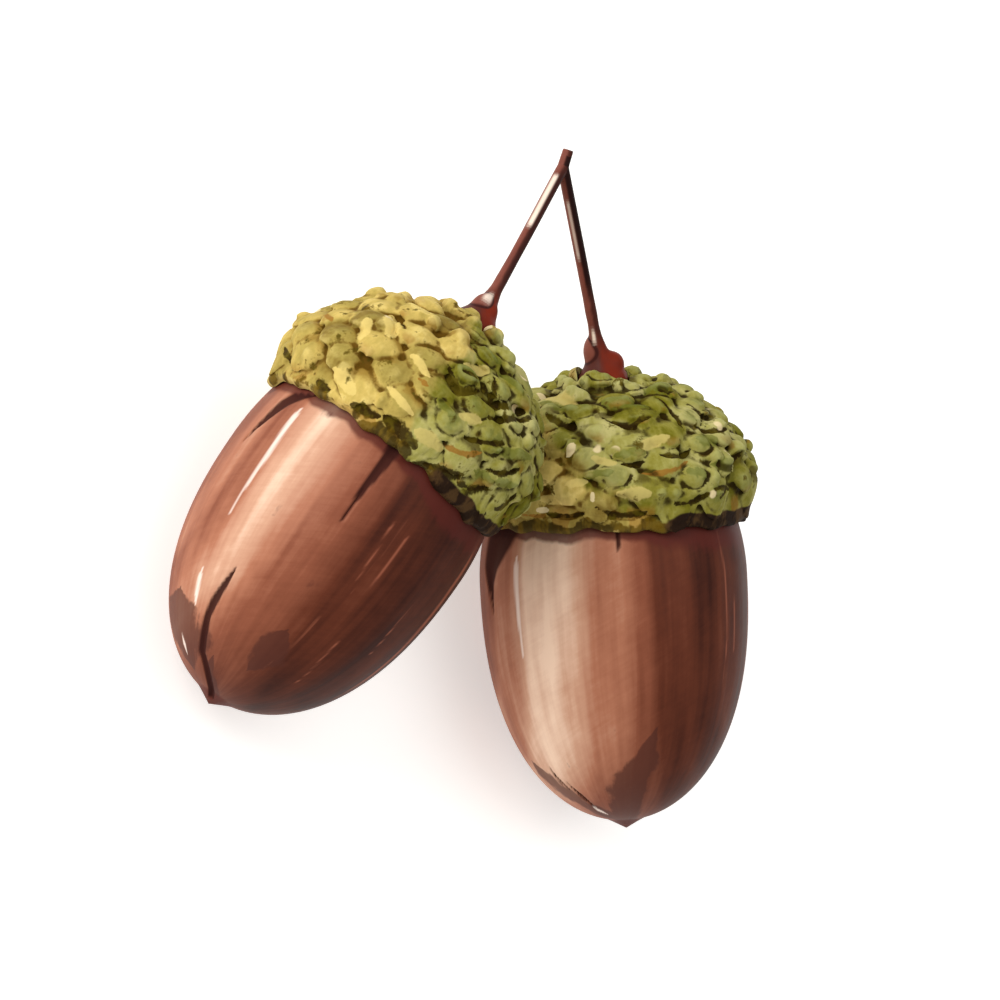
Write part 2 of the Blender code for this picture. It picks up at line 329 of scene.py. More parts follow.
def upright_again(points, acorn):
    """The same points as seen on the upright acorn."""
    back = np.array(acorn.lie().inverted())
    return points @ back[:3, :3].T + back[:3, 3]


def degrees_from_front(points, acorn):
    """Angle about the axis, 0 on the acorn's front side and positive to the right of it."""
    angles = np.degrees(np.arctan2(points[:, 1], points[:, 0])) - acorn.front
    return (angles + 180) % 360 - 180


# %% [markdown]
# The nuts.
# An acorn's shell is hard, smooth and a little uneven: soft ridges run from the cup to the tip,
# it splits in thin cracks as it dries, and it ends in a small sharp point. It could be a
# stretched sphere, but a sphere has the wrong fullness. An outline turned about the axis gives
# the true one, and the ridges and the cracks are then pushed in, point by point, on that form.

# %% The outline of a nut
NUT_TOP = 8.6 * MM
POINT_LENGTH = 0.6 * MM
POINT_RADIUS = 1.5 * MM
POINT_SHARPNESS = 0.75


def nut_profile(acorn, grow=0.0):
    """The outline of the nut at an angle up from its widest place, grown all over."""
    def outline(angle):
        lift, reach = math.sin(math.radians(abs(angle))), math.cos(math.radians(angle))
        radius = (acorn.nut_radius + grow) * reach
        if angle >= 0:
            return radius, -acorn.nut_widest + (NUT_TOP + grow + acorn.nut_widest) * lift
        depth = acorn.nut_length - POINT_LENGTH - acorn.nut_widest
        height = -acorn.nut_widest - depth * lift ** (2 / acorn.nut_fullness)
        near_point = max(0.0, 1 - radius / POINT_RADIUS)
        return radius, height - POINT_LENGTH * near_point ** (1 / POINT_SHARPNESS)
    return outline


# %% [markdown]
# Strokes along a nut.
# Cracks, pale bands, dark patches and the long glint all run from the cup towards the tip. Each
# is a stroke: rows of the distance below the rim, the angle from the front, and half its width.
# One small helper says how far inside such a stroke each point of the nut lies.

# %% How far inside a stroke each point lies
def stroke(down, angle, radius, rows, softness):
    """1 in the middle of the stroke and 0 outside it.
    Rows are (mm down, degrees, mm half width)."""
    downs, angles, halves = (np.array(column, float) for column in zip(*rows))
    centre = np.interp(down / MM, downs, angles)
    half = np.interp(down / MM, downs, halves, left=0, right=0)
    turn = (angle - centre + 180) % 360 - 180
    away = np.abs(radius / MM * np.radians(turn))
    return smooth_step(0, softness, 1 - away / np.maximum(half, TINY)) * (half > 0)


def strongest(down, angle, radius, strokes, softness):
    """How far inside the nearest of several strokes each point lies."""
    return np.max([stroke(down, angle, radius, rows, softness) for rows in strokes], axis=0)


CRACKS = {
    "right": (
        ((-1.5, -58, 2.8), (0.2, -62, 2.3), (2.0, -67, 1.4), (3.0, -67, 0.8), (5.2, -65, 0.0)),
        ((-1.2, 2, 0.2), (0.2, 2.3, 0.17), (1.2, 2.6, 0.0)),
        ((16.2, -50, 0.0), (17.4, -48, 0.16), (18.4, -42, 0.0)),
        ((17.6, -42, 0.0), (18.8, -36, 0.2), (20.0, -30, 0.0)),
    ),
    "left": (
        ((0.4, 3, 0.7), (1.9, 3, 0.5), (4.6, 2, 0.27), (7.0, 2, 0.0)),
        ((0.4, -44, 0.2), (1.0, -52, 0.9), (2.0, -57, 0.8), (3.9, -61, 0.4), (5.9, -66, 0.0)),
        ((13.5, -27, 0.0), (15.0, -29, 0.28), (16.5, -31.5, 0.4), (17.6, -33, 0.36),
         (19.8, -32, 0.4), (21.0, -20, 0.4), (21.8, -10, 0.3)),
    ),
}
CRACK_DEPTH = 0.2 * MM


# %% Model a nut
NUT_STATIONS = 96
NUT_SIDES = 360
RIDGES = ((5, 0.0035), (8, 0.0025), (13, 0.0016), (21, 0.0008))
TWO_LOBES = 0.008
THREE_LOBES = 0.006


def build_nut(acorn):
    nut = turned(f"acorn_nut_{acorn.side}", nut_profile(acorn), NUT_STATIONS, NUT_SIDES)
    points = read_points(nut)
    around = np.arctan2(points[:, 1], points[:, 0])
    radius = np.hypot(points[:, 0], points[:, 1])
    draw = random.Random(acorn.seed)
    stretch = 1 + TWO_LOBES * np.cos(2 * around + draw.uniform(0, 2 * math.pi))
    stretch += THREE_LOBES * np.cos(3 * around + draw.uniform(0, 2 * math.pi))
    for count, size in RIDGES:
        stretch += size * np.cos(count * around + draw.uniform(0, 2 * math.pi))
    points[:, :2] *= stretch[:, None]
    write_points(nut, points)
    normals = read_normals(nut)
    angle = degrees_from_front(points, acorn)
    dent = strongest(-points[:, 2], angle, radius, CRACKS[acorn.side], 1.0)
    write_points(nut, points - normals * (dent * CRACK_DEPTH)[:, None])
    lay_down(nut, acorn)
    print(nut.name, len(nut.data.polygons), "faces")
    return nut


nuts = {acorn.side: build_nut(acorn) for acorn in (LEFT, RIGHT)}

# %% [markdown]
# The cups.
# A cup is a bowl of many small scales that overlap like roof tiles and are grown into one knobbly
# crust. A bump map would leave its outline smooth, so the scales are real. One scale is modelled
# once from a small sphere and copied over a turned dome along a spiral of golden-angle steps, as
# the plant itself does. Small knobs fill in between. A voxel remesh then fuses it all into one
# skin, a little smoothing rounds it, and the nut's hollow is cut out of it. Any loose speck that
# the remesh leaves inside is deleted.

# %% Where each scale sits: on a spiral over the dome, from its lip to its top
LIP_RADIUS = 9.9 * MM
LIP_SHARES = (0.35, 0.7, 1.0)
CUP_STATIONS = 6
OUTLINE_SAMPLES = 400
SCALES = 98
FIRST_SCALE = 1.2 * MM
GOLDEN_ANGLE = math.pi * (3 - math.sqrt(5))
SCALE_LIFT = 0.1 * MM
SCALE_TILT = 15.0
RIM_TILT = 6.0
RIM_SHARE = 0.2
TOP_SHARE = 0.25
TOP_SHRINK = 0.25
STRAY_UP = 0.3
STRAY_ROUND = 0.12
STRAY_YAW = 14.0
STRAY_TILT = 4.0
SCALE_SIZES = (0.88, 1.12)
SCALE_THICKNESSES = (0.85, 1.2)


def cup_outline(acorn):
    """The dome's outline under the scales, as points from its top down to its lip."""
    upper = []
    for step in range(CUP_STATIONS):
        angle = step / CUP_STATIONS * math.pi / 2
        rise = (acorn.cup_height - acorn.cup_widest) * math.sin(angle) ** (2 / acorn.cup_fullness)
        upper.append((acorn.cup_radius * math.cos(angle), acorn.cup_widest + rise))
    lip = []
    for share in LIP_SHARES:
        radius = acorn.cup_radius + (LIP_RADIUS - acorn.cup_radius) * share**2
        lip.append((radius, acorn.cup_widest - (acorn.cup_widest + acorn.lip_drop) * share))
    return [(0, acorn.cup_height)] + upper[:0:-1] + [upper[0]] + lip


def along_outline(outline):
    """Fine samples as (area so far, radius, height, slope), from the lip upwards."""
    path = [Vector((radius, height)) for radius, height in reversed(outline)]
    lengths = [(b - a).length for a, b in zip(path, path[1:])]
    total = sum(lengths)
    samples = []
    area = passed = 0.0
    index = 0
    for step in range(OUTLINE_SAMPLES):
        distance = (step + 0.5) / OUTLINE_SAMPLES * total
        while distance > passed + lengths[index]:
            passed += lengths[index]
            index += 1
        start, end = path[index], path[index + 1]
        spot = start.lerp(end, (distance - passed) / lengths[index])
        area += 2 * math.pi * spot.x * total / OUTLINE_SAMPLES
        samples.append((area, spot.x, spot.y, (end - start).normalized()))
    return samples


def scale_frames(acorn):
    """(matrix, size, thickness) of each scale. X runs to the rim, Y round the cup, Z outwards."""
    draw = random.Random(acorn.seed + 1)
    samples = along_outline(cup_outline(acorn))
    first = next(area for area, _, height, _ in samples if height > FIRST_SCALE - acorn.lip_drop)
    samples = [(area - first, *rest) for area, *rest in samples if area > first]
    total = samples[-1][0]
    unit = math.sqrt(total / SCALES)
    frames = []
    for index in range(SCALES):
        share = (index + 0.5 + draw.uniform(-STRAY_UP, STRAY_UP)) / SCALES
        _, radius, height, slope = min(samples, key=lambda sample: abs(sample[0] - share * total))
        angle = index * GOLDEN_ANGLE
        angle += draw.uniform(-STRAY_ROUND, STRAY_ROUND) * unit / max(radius, unit)
        turn = Matrix.Rotation(angle, 3, "Z")
        down = turn @ Vector((-slope.x, 0, -slope.y))
        out = turn @ Vector((slope.y, 0, -slope.x))
        place = turn @ Vector((radius, 0, height)) + out * SCALE_LIFT
        basis = Matrix((down, out.cross(down), out)).transposed().to_4x4()
        yaw = Matrix.Rotation(math.radians(draw.uniform(-STRAY_YAW, STRAY_YAW)), 4, "Z")
        lean = RIM_TILT + (SCALE_TILT - RIM_TILT) * min(1.0, share / RIM_SHARE)
        lean += draw.uniform(-STRAY_TILT, STRAY_TILT)
        tilt = Matrix.Rotation(-math.radians(lean), 4, "Y")
        near_top = max(0.0, share - (1 - TOP_SHARE)) / TOP_SHARE
        size = unit * draw.uniform(*SCALE_SIZES) * (1 - TOP_SHRINK * near_top)
        matrix = Matrix.Translation(place) @ basis @ yaw @ tilt
        frames.append((matrix, size, draw.uniform(*SCALE_THICKNESSES)))
    return frames


print("scales on each cup:", len(scale_frames(LEFT)))

# %% [markdown]
# One scale.
# Close up, a scale is a thick tongue: domed on top, rounded at its free end, narrower there than
# at its root, and sunk into the crust. A small sphere is squashed to that form. It is one unit
# long, wide and thick, so that each copy only needs stretching to its own size.

# %% Model one scale
SCALE_LENGTH = 1.28
SCALE_WIDTH = 1.46
SCALE_THICKNESS = 0.7 * MM
TAPER_FROM = 0.3
SCALE_TAPER = (1, 0.75, 0.9)
ROOT_BELOW = -0.1
ROOT_SHRINK = (0.8, 0.8, 1)
ROOT_MIDDLE = (-0.2, 0, 0)


def model_scale():
    bpy.ops.object.select_all(action="DESELECT")
    bpy.ops.mesh.primitive_uv_sphere_add(segments=10, ring_count=6, radius=1)
    scale = bpy.context.object
    scale.name = "one_scale"
    edit(scale, lambda place: place.x > TAPER_FROM)
    bpy.ops.transform.resize(value=SCALE_TAPER, center_override=(0, 0, 0))
    choose(scale, lambda place: place.z < ROOT_BELOW)
    bpy.ops.transform.resize(value=ROOT_SHRINK, center_override=ROOT_MIDDLE)
    close_edit()
    return scale


one_scale = model_scale()
print("one scale has", len(one_scale.data.polygons), "faces")

# %% [markdown]
# Which scale a point belongs to.
# Once everything is fused, a point no longer knows its scale. Looking back from each scale's own
# frame tells: the scale whose top is nearest to the point owns it. The same look gives how far
# along and beside its middle the point is, which is what carving and colouring need later on.

# %% Find the owning scale, soften values over the surface, measure hollows
BESIDE_COST = 5 * MM


def owning_scale(points, acorn):
    """For each point the number of its scale, how far along and beside its middle the point is,
    as shares of its half size, and how far off its top."""
    best = np.full(len(points), np.inf)
    owner = np.zeros(len(points), int)
    spot = np.zeros((len(points), 2))
    for number, (matrix, size, thick) in enumerate(scale_frames(acorn)):
        back = np.array(matrix.inverted())
        local = points @ back[:3, :3].T + back[:3, 3]
        along = local[:, 0] / (size * SCALE_LENGTH / 2)
        beside = local[:, 1] / (size * SCALE_WIDTH / 2)
        spread = along**2 + beside**2
        top = SCALE_THICKNESS * thick * np.sqrt(np.clip(1 - spread, 0, 1))
        off = np.abs(local[:, 2] - top) + np.maximum(spread - 1, 0) * BESIDE_COST
        nearer = off < best
        best[nearer] = off[nearer]
        owner[nearer] = number
        spot[nearer] = np.column_stack((along, beside))[nearer]
    return owner, spot, best


def softened(obj, values, rounds):
    """The values, one row for each point, evened out with their neighbours again and again."""
    edges = np.empty(len(obj.data.edges) * 2, np.int32)
    obj.data.edges.foreach_get("vertices", edges)
    first, second = edges[0::2], edges[1::2]
    count = np.maximum(np.bincount(edges, minlength=len(values)), 1)
    soft = values.astype(float)
    for _ in range(rounds):
        total = np.zeros_like(soft)
        for column in range(soft.shape[1]):
            total[:, column] = np.bincount(first, soft[second, column], len(soft))
            total[:, column] += np.bincount(second, soft[first, column], len(soft))
        soft = (soft + total) / (1 + count[:, None])
    return soft


def depth_below(obj, rounds):
    """How far each point lies below the softened surface round it, in tenths of a millimetre."""
    points, normals = read_points(obj), read_normals(obj)
    return ((softened(obj, points, rounds) - points) * normals).sum(1) / (0.1 * MM)


# %% Where a cup is yellow, and which scales carry a curled knob
STRAW_EDGE = (-2.5, 3.5)
KHAKI_EDGE = (-1.0, 5.5)
KHAKI_HEIGHT = 2.2
KHAKI_STRENGTH = 0.75
CURL_MIDDLE = 0.1
CURL_REACH = 0.62
CURL_CORE = (0.3, 0.6)
CURL_WIDTH = 0.13
CURL_OPENS = (-0.15, 0.3)
CURLED_SHARE = 0.65
LESS_CURLED_WHEN_YELLOW = 0.8
ON_THE_SCALE = 0.3 * MM


def yellowness(points, angle, acorn):
    """1 where the cup is straw yellow and 0 where it is green."""
    rightwards = np.hypot(points[:, 0], points[:, 1]) * np.sin(np.radians(angle)) / MM
    height = points[:, 2] / MM
    if acorn.side == "left":
        return 1 - smooth_step(*STRAW_EDGE, rightwards)
    return KHAKI_STRENGTH * (1 - smooth_step(*KHAKI_EDGE, rightwards + (height - KHAKI_HEIGHT)))


def scale_tones(acorn):
    """Two chance numbers from 0 to 1 for each scale."""
    draw = random.Random(acorn.seed + 4)
    return np.array([(draw.random(), draw.random()) for _ in range(SCALES)])


def curls(points, acorn):
    """How much each point belongs to a curled knob's core, and to the groove round its end."""
    owner, spot, off = owning_scale(points, acorn)
    angle = degrees_from_front(points, acorn)
    curled = scale_tones(acorn)[owner, 1] < CURLED_SHARE
    weight = curled * (1 - LESS_CURLED_WHEN_YELLOW * yellowness(points, angle, acorn))
    weight *= off < ON_THE_SCALE
    reach = np.hypot(spot[:, 0] - CURL_MIDDLE, spot[:, 1])
    core = weight * (1 - smooth_step(*CURL_CORE, reach))
    groove = np.exp(-(((reach - CURL_REACH) / CURL_WIDTH) ** 2))
    return core, weight * groove * smooth_step(*CURL_OPENS, spot[:, 0])


# %% [markdown]
# Single dabs.
# The scales follow a rule, but a few dabs catch the eye: a dark curl on the left cup, pits, pale
# and ochre flakes, and bigger knobs. A rule would never set them where they are, so each is one
# row: its kind, the angle from the front, millimetres up the dome from the lip, half its length,
# half its width, how far its middle sags, and its slant. A dab both colours its points and lifts
# or sinks them, by MARK_LIFTS for its kind.

# %% The single dabs that stand out on the cups
MARKS = {
    "right": (
        ("shade", -25, 8.4, 1.3, 0.45, -0.3, -17),
        ("shade", 12, 8.5, 1.8, 0.45, -1.0, -10),
        ("shade", 39, 8.5, 1.8, 0.35, 0.3, -86),
        ("shade", 68, 7.9, 1.4, 0.5, -0.5, -38),
        ("shade", 52, 2.7, 1.3, 0.4, 0.45, -130),
        ("shade", 4, 1.5, 1.9, 0.45, -0.5, -9),
        ("shade", -19, 1.3, 1.5, 0.35, -0.2, 0),
        ("shade", 34, 1.9, 1.6, 0.35, -0.3, 8),
        ("shade", 50, 2.2, 1.2, 0.3, 0.2, -6),
        ("shade", 30, 5.2, 1.4, 0.35, -0.4, 5),
        ("shade", 58, 6.6, 1.6, 0.35, -0.5, -20),
        ("shade", 62, 4.6, 1.3, 0.35, -0.4, -20),
        ("ochre", 24, 4.2, 2.0, 0.4, -0.55, 10),
        ("pale", 21, 6.0, 1.3, 0.7, 0, 17),
        ("pale", -24, 2.3, 1.0, 0.45, 0, -12),
        ("pale", -13, 3.4, 0.8, 0.5, 0, 10),
        ("ochre", -33, 1.2, 1.0, 0.3, 0, -5),
        ("pale", 9, 2.6, 1.3, 0.75, 0, -3),
        ("pale", -35, 10.6, 1.6, 1.0, 0, -17),
        ("pale", -2, 4.8, 1.0, 0.5, 0, -15),
        ("knob", -31, 9.6, 1.9, 0.7, 0, -15),
        ("knob", 13, 9.9, 1.7, 0.9, 0, -15),
        ("knob", 49, 5.7, 1.2, 1.0, 0, -15),
        ("knob", 9, 5.2, 1.2, 0.6, 0, 3),
        ("knob", -4, 4.0, 1.1, 0.5, 0, 6),
        ("shade", 10, 4.6, 0.9, 0.22, -0.2, 4),
        ("knob", 36, 3.5, 0.9, 0.7, 0, -15),
        ("knob", 52, 3.9, 1.2, 0.7, 0, -5),
        ("knob", 46, 11.0, 1.0, 0.7, 0, -35),
        ("spot", -62, 11.0, 0.42, 0.36, 0, 0),
        ("spot", -16, 5.7, 0.55, 0.42, 0, 60),
        ("spot", -7, 2.5, 0.4, 0.26, 0, 90),
        ("spot", -29, 1.6, 0.42, 0.36, 0, 0),
    ),
    "left": (
        ("shade", 11, 7.2, 1.5, 0.55, -1.35, 0),
        ("shade", 30, 7.2, 1.6, 0.45, -0.3, 24),
        ("shade", 42, 6.9, 2.6, 0.4, -0.2, 30),
        ("shade", 32, 4.1, 1.8, 0.33, -0.2, 26),
        ("shade", 59, 1.8, 1.2, 0.45, -0.6, 56),
        ("shade", 47, 3.3, 1.5, 0.35, -0.3, 30),
        ("shade", 40, 1.1, 1.5, 0.45, -0.2, 25),
        ("shade", -16, 0.9, 1.2, 0.5, 0, 10),
        ("shade", 1, 1.0, 1.7, 0.8, 0, -10),
        ("shade", 25, 0.7, 1.6, 0.4, 0, 20),
        ("shade", -71, 1.7, 1.2, 0.35, 0, -25),
        ("shade", -39, 0.8, 0.8, 0.5, 0, -10),
        ("shade", -29, 7.9, 0.9, 0.2, 0, -38),
        ("ochre", -61, 5.2, 1.0, 0.45, 0, -11),
        ("ochre", -3, 4.5, 0.5, 0.35, 0, -20),
        ("ochre", 25, 2.7, 1.5, 0.38, -0.35, 24),
        ("pale", -33, 7.3, 1.6, 0.9, 0, -50),
        ("pale", -35, 10.5, 1.4, 1.1, 0, -14),
        ("pale", -38, 5.6, 1.1, 0.7, 0, -60),
        ("pale", -6, 2.8, 1.4, 0.42, 0, -14),
        ("pale", -8, 5.6, 1.2, 0.42, 0, -21),
        ("pale", 21, 4.5, 1.0, 0.55, 0, 21),
        ("pale", 12, 1.7, 1.3, 0.8, 0, 0),
        ("pale", 14.5, 8.7, 1.3, 0.6, 0, 33),
        ("pale", -30, 1.8, 1.4, 0.8, 0, -16),
        ("knob", 11, 7.3, 1.0, 0.8, 0, 0),
        ("shade", 11.5, 7.3, 0.7, 0.38, 0, 20),
        ("shade", 28, 7.9, 1.2, 0.3, 0, -77),
        ("knob", 10, 4.1, 0.9, 0.5, 0, -13),
        ("knob", 41, 2.1, 1.0, 0.6, 0, 7),
        ("knob", 48, 4.5, 2.2, 0.6, 0, 20),
        ("knob", 52, 2.8, 1.2, 0.6, 0, 15),
        ("knob", 39, 9.5, 1.1, 0.8, 0, -30),
        ("knob", 23, 10.8, 0.9, 0.7, 0, -11),
    ),
}
# A shade dab is painted shade, in the small pit that its lift sinks.
MARK_KINDS = ("shade", "ochre", "pale", "knob", "spot")
MARK_LIFTS = (-0.2 * MM, 0.0, 0.06 * MM, 0.16 * MM, 0.05 * MM)
MARK_DEPTH = 2.5
print("single dabs:", {side: len(rows) for side, rows in MARKS.items()})


# %% How far inside the dabs each point lies
def place_on_dome(acorn, angle, up):
    """The point on the scales at this angle and millimetres up from the lip, with the way up and
    the way to the right there."""
    outline = [Vector(point) for point in reversed(cup_outline(acorn))]
    for start, end in zip(outline, outline[1:]):
        length = (end - start).length
        if up * MM <= length:
            break
        up -= length / MM
    slope = (end - start).normalized()
    spot = start + slope * up * MM + Vector((slope.y, -slope.x)) * SCALE_THICKNESS
    turn = Matrix.Rotation(math.radians(angle + acorn.front), 3, "Z")
    there = (Vector((spot.x, 0, spot.y)), Vector((slope.x, 0, slope.y)), Vector((0, 1, 0)))
    return [np.array(turn @ vector) for vector in there]


def mark_shares(points, acorn):
    """For each point how far inside the dabs of each kind it lies, from 0 to 1."""
    shares = np.zeros((len(points), len(MARK_KINDS)))
    for kind, angle, up, half, width, sag, slant in MARKS[acorn.side]:
        middle, upwards, sideways = place_on_dome(acorn, angle, up)
        away = (points - middle) / MM
        across, along = away @ sideways, away @ upwards
        turn = math.radians(slant)
        length = (across * math.cos(turn) + along * math.sin(turn)) / half
        side = along * math.cos(turn) - across * math.sin(turn)
        room = np.clip(1 - length**2, 0, 1)
        inside = 1 - np.abs(side - sag * room) / np.maximum(width * np.sqrt(room), TINY)
        near = np.abs(away @ np.cross(sideways, upwards)) < MARK_DEPTH
        share = np.clip(inside, 0, 1) * near
        column = MARK_KINDS.index(kind)
        shares[:, column] = np.maximum(shares[:, column], share)
    return shares


# %% The dome, the copies of the scale and the small knobs between them
ROUNDING = 1e-12
KNOBS = 46
KNOB_ROOM = slice(40, -30)
KNOB_SIZES = (0.55, 0.95)
KNOB_LIFT = 0.75 * MM
KNOB_SINK = 0.35


def dome_profile(acorn):
    """The dome as an outline by angle, closed flat across the rim."""
    points = [Vector(point) for point in cup_outline(acorn)] + [Vector((0, -acorn.lip_drop))]
    lengths = [(b - a).length for a, b in zip(points, points[1:])]

    def outline(angle):
        distance = (90 - angle) / 180 * sum(lengths)
        for start, end, length in zip(points, points[1:], lengths):
            if distance <= length + ROUNDING:
                return tuple(start.lerp(end, distance / length))
            distance -= length
        return tuple(points[-1])
    return outline


def add_copies(model, placings):
    """Copies of the model, each with its own mesh, placed by its own matrix."""
    copies = []
    for matrix in placings:
        copy = bpy.data.objects.new(model.name, model.data.copy())
        copy.data.transform(matrix)
        bpy.context.scene.collection.objects.link(copy)
        copies.append(copy)
    return copies


def knob_placings(acorn):
    """Small knobs scattered over the dome, between the scales."""
    draw = random.Random(acorn.seed + 2)
    samples = along_outline(cup_outline(acorn))[KNOB_ROOM]
    placings = []
    for _ in range(KNOBS):
        _, radius, height, slope = draw.choice(samples)
        turn = Matrix.Rotation(draw.uniform(0, 2 * math.pi), 4, "Z")
        out = Vector((slope.y, 0, -slope.x))
        size = draw.uniform(*KNOB_SIZES) * MM
        place = Vector((radius, 0, height)) + out * (KNOB_LIFT - KNOB_SINK * size)
        placings.append(turn @ Matrix.Translation(place) @ Matrix.Scale(size, 4))
    return placings


print("small knobs on each cup:", len(knob_placings(LEFT)))

# %% Model a cup: copy, fuse, sculpt and hollow out
DOME_GRID = (24, 96)
HOLLOW_GRID = (24, 120)
SOCKET_SIDES = 48
SOCKET_LENGTH = 6 * MM
VOXEL = 0.16 * MM
MARK_EDGE = 0.6
LUMPS = ((0.55, 0.12 * MM), (1.3, 0.05 * MM))
CURL_LIFT = 0.1 * MM
CURL_DEPTH = 0.2 * MM
TUCK_HEIGHT = 3.6 * MM
TUCK_SHARE = 0.3
NUT_GAP = 0.12 * MM
FOOT_DEPTH = 0.5 * MM
FOOT_GAP = 0.12 * MM
FOOT_RADIUS = 1.85 * MM


def tucked(points, acorn):
    """Draws the lowest scales in, so that they lie flat on the nut."""
    radius = np.hypot(points[:, 0], points[:, 1])
    keep = TUCK_SHARE + (1 - TUCK_SHARE) * smooth_step(-acorn.lip_drop, TUCK_HEIGHT, points[:, 2])
    wanted = np.where(radius > LIP_RADIUS, LIP_RADIUS + (radius - LIP_RADIUS) * keep, radius)
    drawn = points.copy()
    drawn[:, :2] *= (wanted / np.maximum(radius, TINY))[:, None]
    return drawn


def drop_specks(obj):
    """Keeps the one body that holds the outermost point, and deletes loose specks."""
    points = read_points(obj)
    outermost = Vector(points[np.argmax(np.hypot(points[:, 0], points[:, 1]))])
    edit(obj, lambda place: (place - outermost).length < TINY * MM)
    bpy.ops.mesh.select_linked()
    bpy.ops.mesh.select_all(action="INVERT")
    bpy.ops.mesh.delete(type="VERT")
    close_edit()


def build_cup(acorn):
    cup = turned(f"acorn_cup_{acorn.side}", dome_profile(acorn), *DOME_GRID)
    placings = []
    for matrix, size, thick in scale_frames(acorn):
        stretch = Matrix.Diagonal(
            (size * SCALE_LENGTH / 2, size * SCALE_WIDTH / 2, SCALE_THICKNESS * thick, 1)
        )
        placings.append(matrix @ stretch)
    parts = add_copies(one_scale, placings + knob_placings(acorn))
    only(cup)
    for part in parts:
        part.select_set(True)
    bpy.ops.object.join()
    apply_modifier(cup, "REMESH", mode="VOXEL", voxel_size=VOXEL, adaptivity=0.0)
    apply_modifier(cup, "SMOOTH", factor=0.5, iterations=2)
    points, normals = read_points(cup), read_normals(cup)
    core, groove = curls(points, acorn)
    lift = CURL_LIFT * core - CURL_DEPTH * groove
    lift += smooth_step(0, MARK_EDGE, mark_shares(points, acorn)) @ MARK_LIFTS
    for frequency, size in LUMPS:
        lift += size * np.array(
            [noise.noise(Vector(point) * (frequency / MM)) for point in points.tolist()]
        )
    write_points(cup, tucked(points + normals * lift[:, None], acorn))
    cut_away(cup, turned("hollow", nut_profile(acorn, NUT_GAP), *HOLLOW_GRID))
    bpy.ops.object.select_all(action="DESELECT")
    bpy.ops.mesh.primitive_cylinder_add(
        vertices=SOCKET_SIDES,
        radius=FOOT_RADIUS + FOOT_GAP,
        depth=SOCKET_LENGTH,
        location=(0, 0, acorn.cup_height - FOOT_DEPTH - FOOT_GAP + SOCKET_LENGTH / 2),
    )
    socket = bpy.context.object
    bpy.ops.object.transform_apply(location=True, rotation=True, scale=True)
    cut_away(cup, socket)
    drop_specks(cup)
    print(cup.name, len(cup.data.polygons), "faces")
    return cup


cups = {acorn.side: build_cup(acorn) for acorn in (LEFT, RIGHT)}

# %% [markdown]
# The ragged rim.
# The edge of a cup isn't a clean circle. It waves up and down, and on one side a bare, smooth,
# dark lip hangs below the last row of scales. The lip's points slide along the nut to do that.

# %% Wave the rim, then lay the cups down
RIM_REACH = 2.2 * MM
RIM_WAVES = ((3, 0.16 * MM), (5, 0.12 * MM), (9, 0.09 * MM), (16, 0.1 * MM), (27, 0.07 * MM))
BARE_LIP = 0.85 * MM
BARE_LIP_ANGLE = 58.0
BARE_LIP_SPREAD = 34.0


def bareness(angle):
    """1 where the lip is bare and 0 where scales hide it, at an angle from the front."""
    return np.exp(-(((angle - BARE_LIP_ANGLE) / BARE_LIP_SPREAD) ** 2))


def rim_shift(acorn, angle):
    """How far below its plane the rim hangs, at an angle from the front."""
    draw = random.Random(acorn.seed + 3)
    shift = BARE_LIP * bareness(angle)
    for count, size in RIM_WAVES:
        shift = shift + size * np.cos(count * np.radians(angle) + draw.uniform(0, 2 * math.pi))
    return shift


for acorn in (LEFT, RIGHT):
    cup = cups[acorn.side]
    points = read_points(cup)
    low = 1 - smooth_step(0, RIM_REACH, points[:, 2] + acorn.lip_drop)
    points[:, 2] -= low * rim_shift(acorn, degrees_from_front(points, acorn))
    write_points(cup, points)
    lay_down(cup, acorn)
    print(cup.name, "reaches", round(read_points(cup)[:, 2].max() / MM, 1), "mm above the table")

# %% [markdown]
# The stalk.
# One thin woody stalk forks into two arms, and each arm swells where it grows on a cup: a dark
# knuckle on one side, and a red flare on the other. A curve with a round bevel is the quickest
# way to an arm, because every point of the curve has its own radius. The swellings are long
# balls set where the picture shows them. It all becomes one mesh, a fine voxel remesh grows it
# together at the fork and the feet, and the feet are then evened out, so that no ball stands out.

# %% The path and the girth of each arm
FORK = (-2.36 * MM, 20.81 * MM, 17.38 * MM)
CUT_END = (-2.38 * MM, 22.05 * MM, 17.79 * MM)
FOOT_RUN = 4.0 * MM
FORK_RUN = 3.0 * MM
STALK_RADIUS = 0.43 * MM
CUT_RADIUS = 0.4 * MM
FOOT_GIRTH = (
    (0.0, 1.85), (0.6, 1.85), (0.9, 1.8), (1.3, 1.55), (1.7, 1.25), (2.1, 1.0), (2.6, 0.8),
    (3.1, 0.7), (3.5, 0.6), (3.8, 0.54), (4.2, 0.5), (5.2, 0.45), (7.0, 0.42), (10.0, 0.43),
)
# Each swelling is its middle in the upright acorn's own frame, its radius and half its height,
# in millimetres. The girths are (distance along the arm, radius), in millimetres too.
KNUCKLES = {
    "left": ((0.2, 0.42, 12.3), 0.74, 1.15),
    "right": ((0.46, 0.48, 13.05), 0.8, 1.3),
}
FLARES = {
    "left": ((-0.4, -0.25, 12.0), 0.62, 1.1),
    "right": ((-0.6, -0.18, 12.1), 1.0, 1.0),
}
FOOT_LEANS = {"left": (0, 0, 0), "right": (0.3, 0.1, 0)}
FULL_GIRTH_FROM = 11 * MM
ARM_POINTS = 90
KNUCKLE_REACH = 1.6


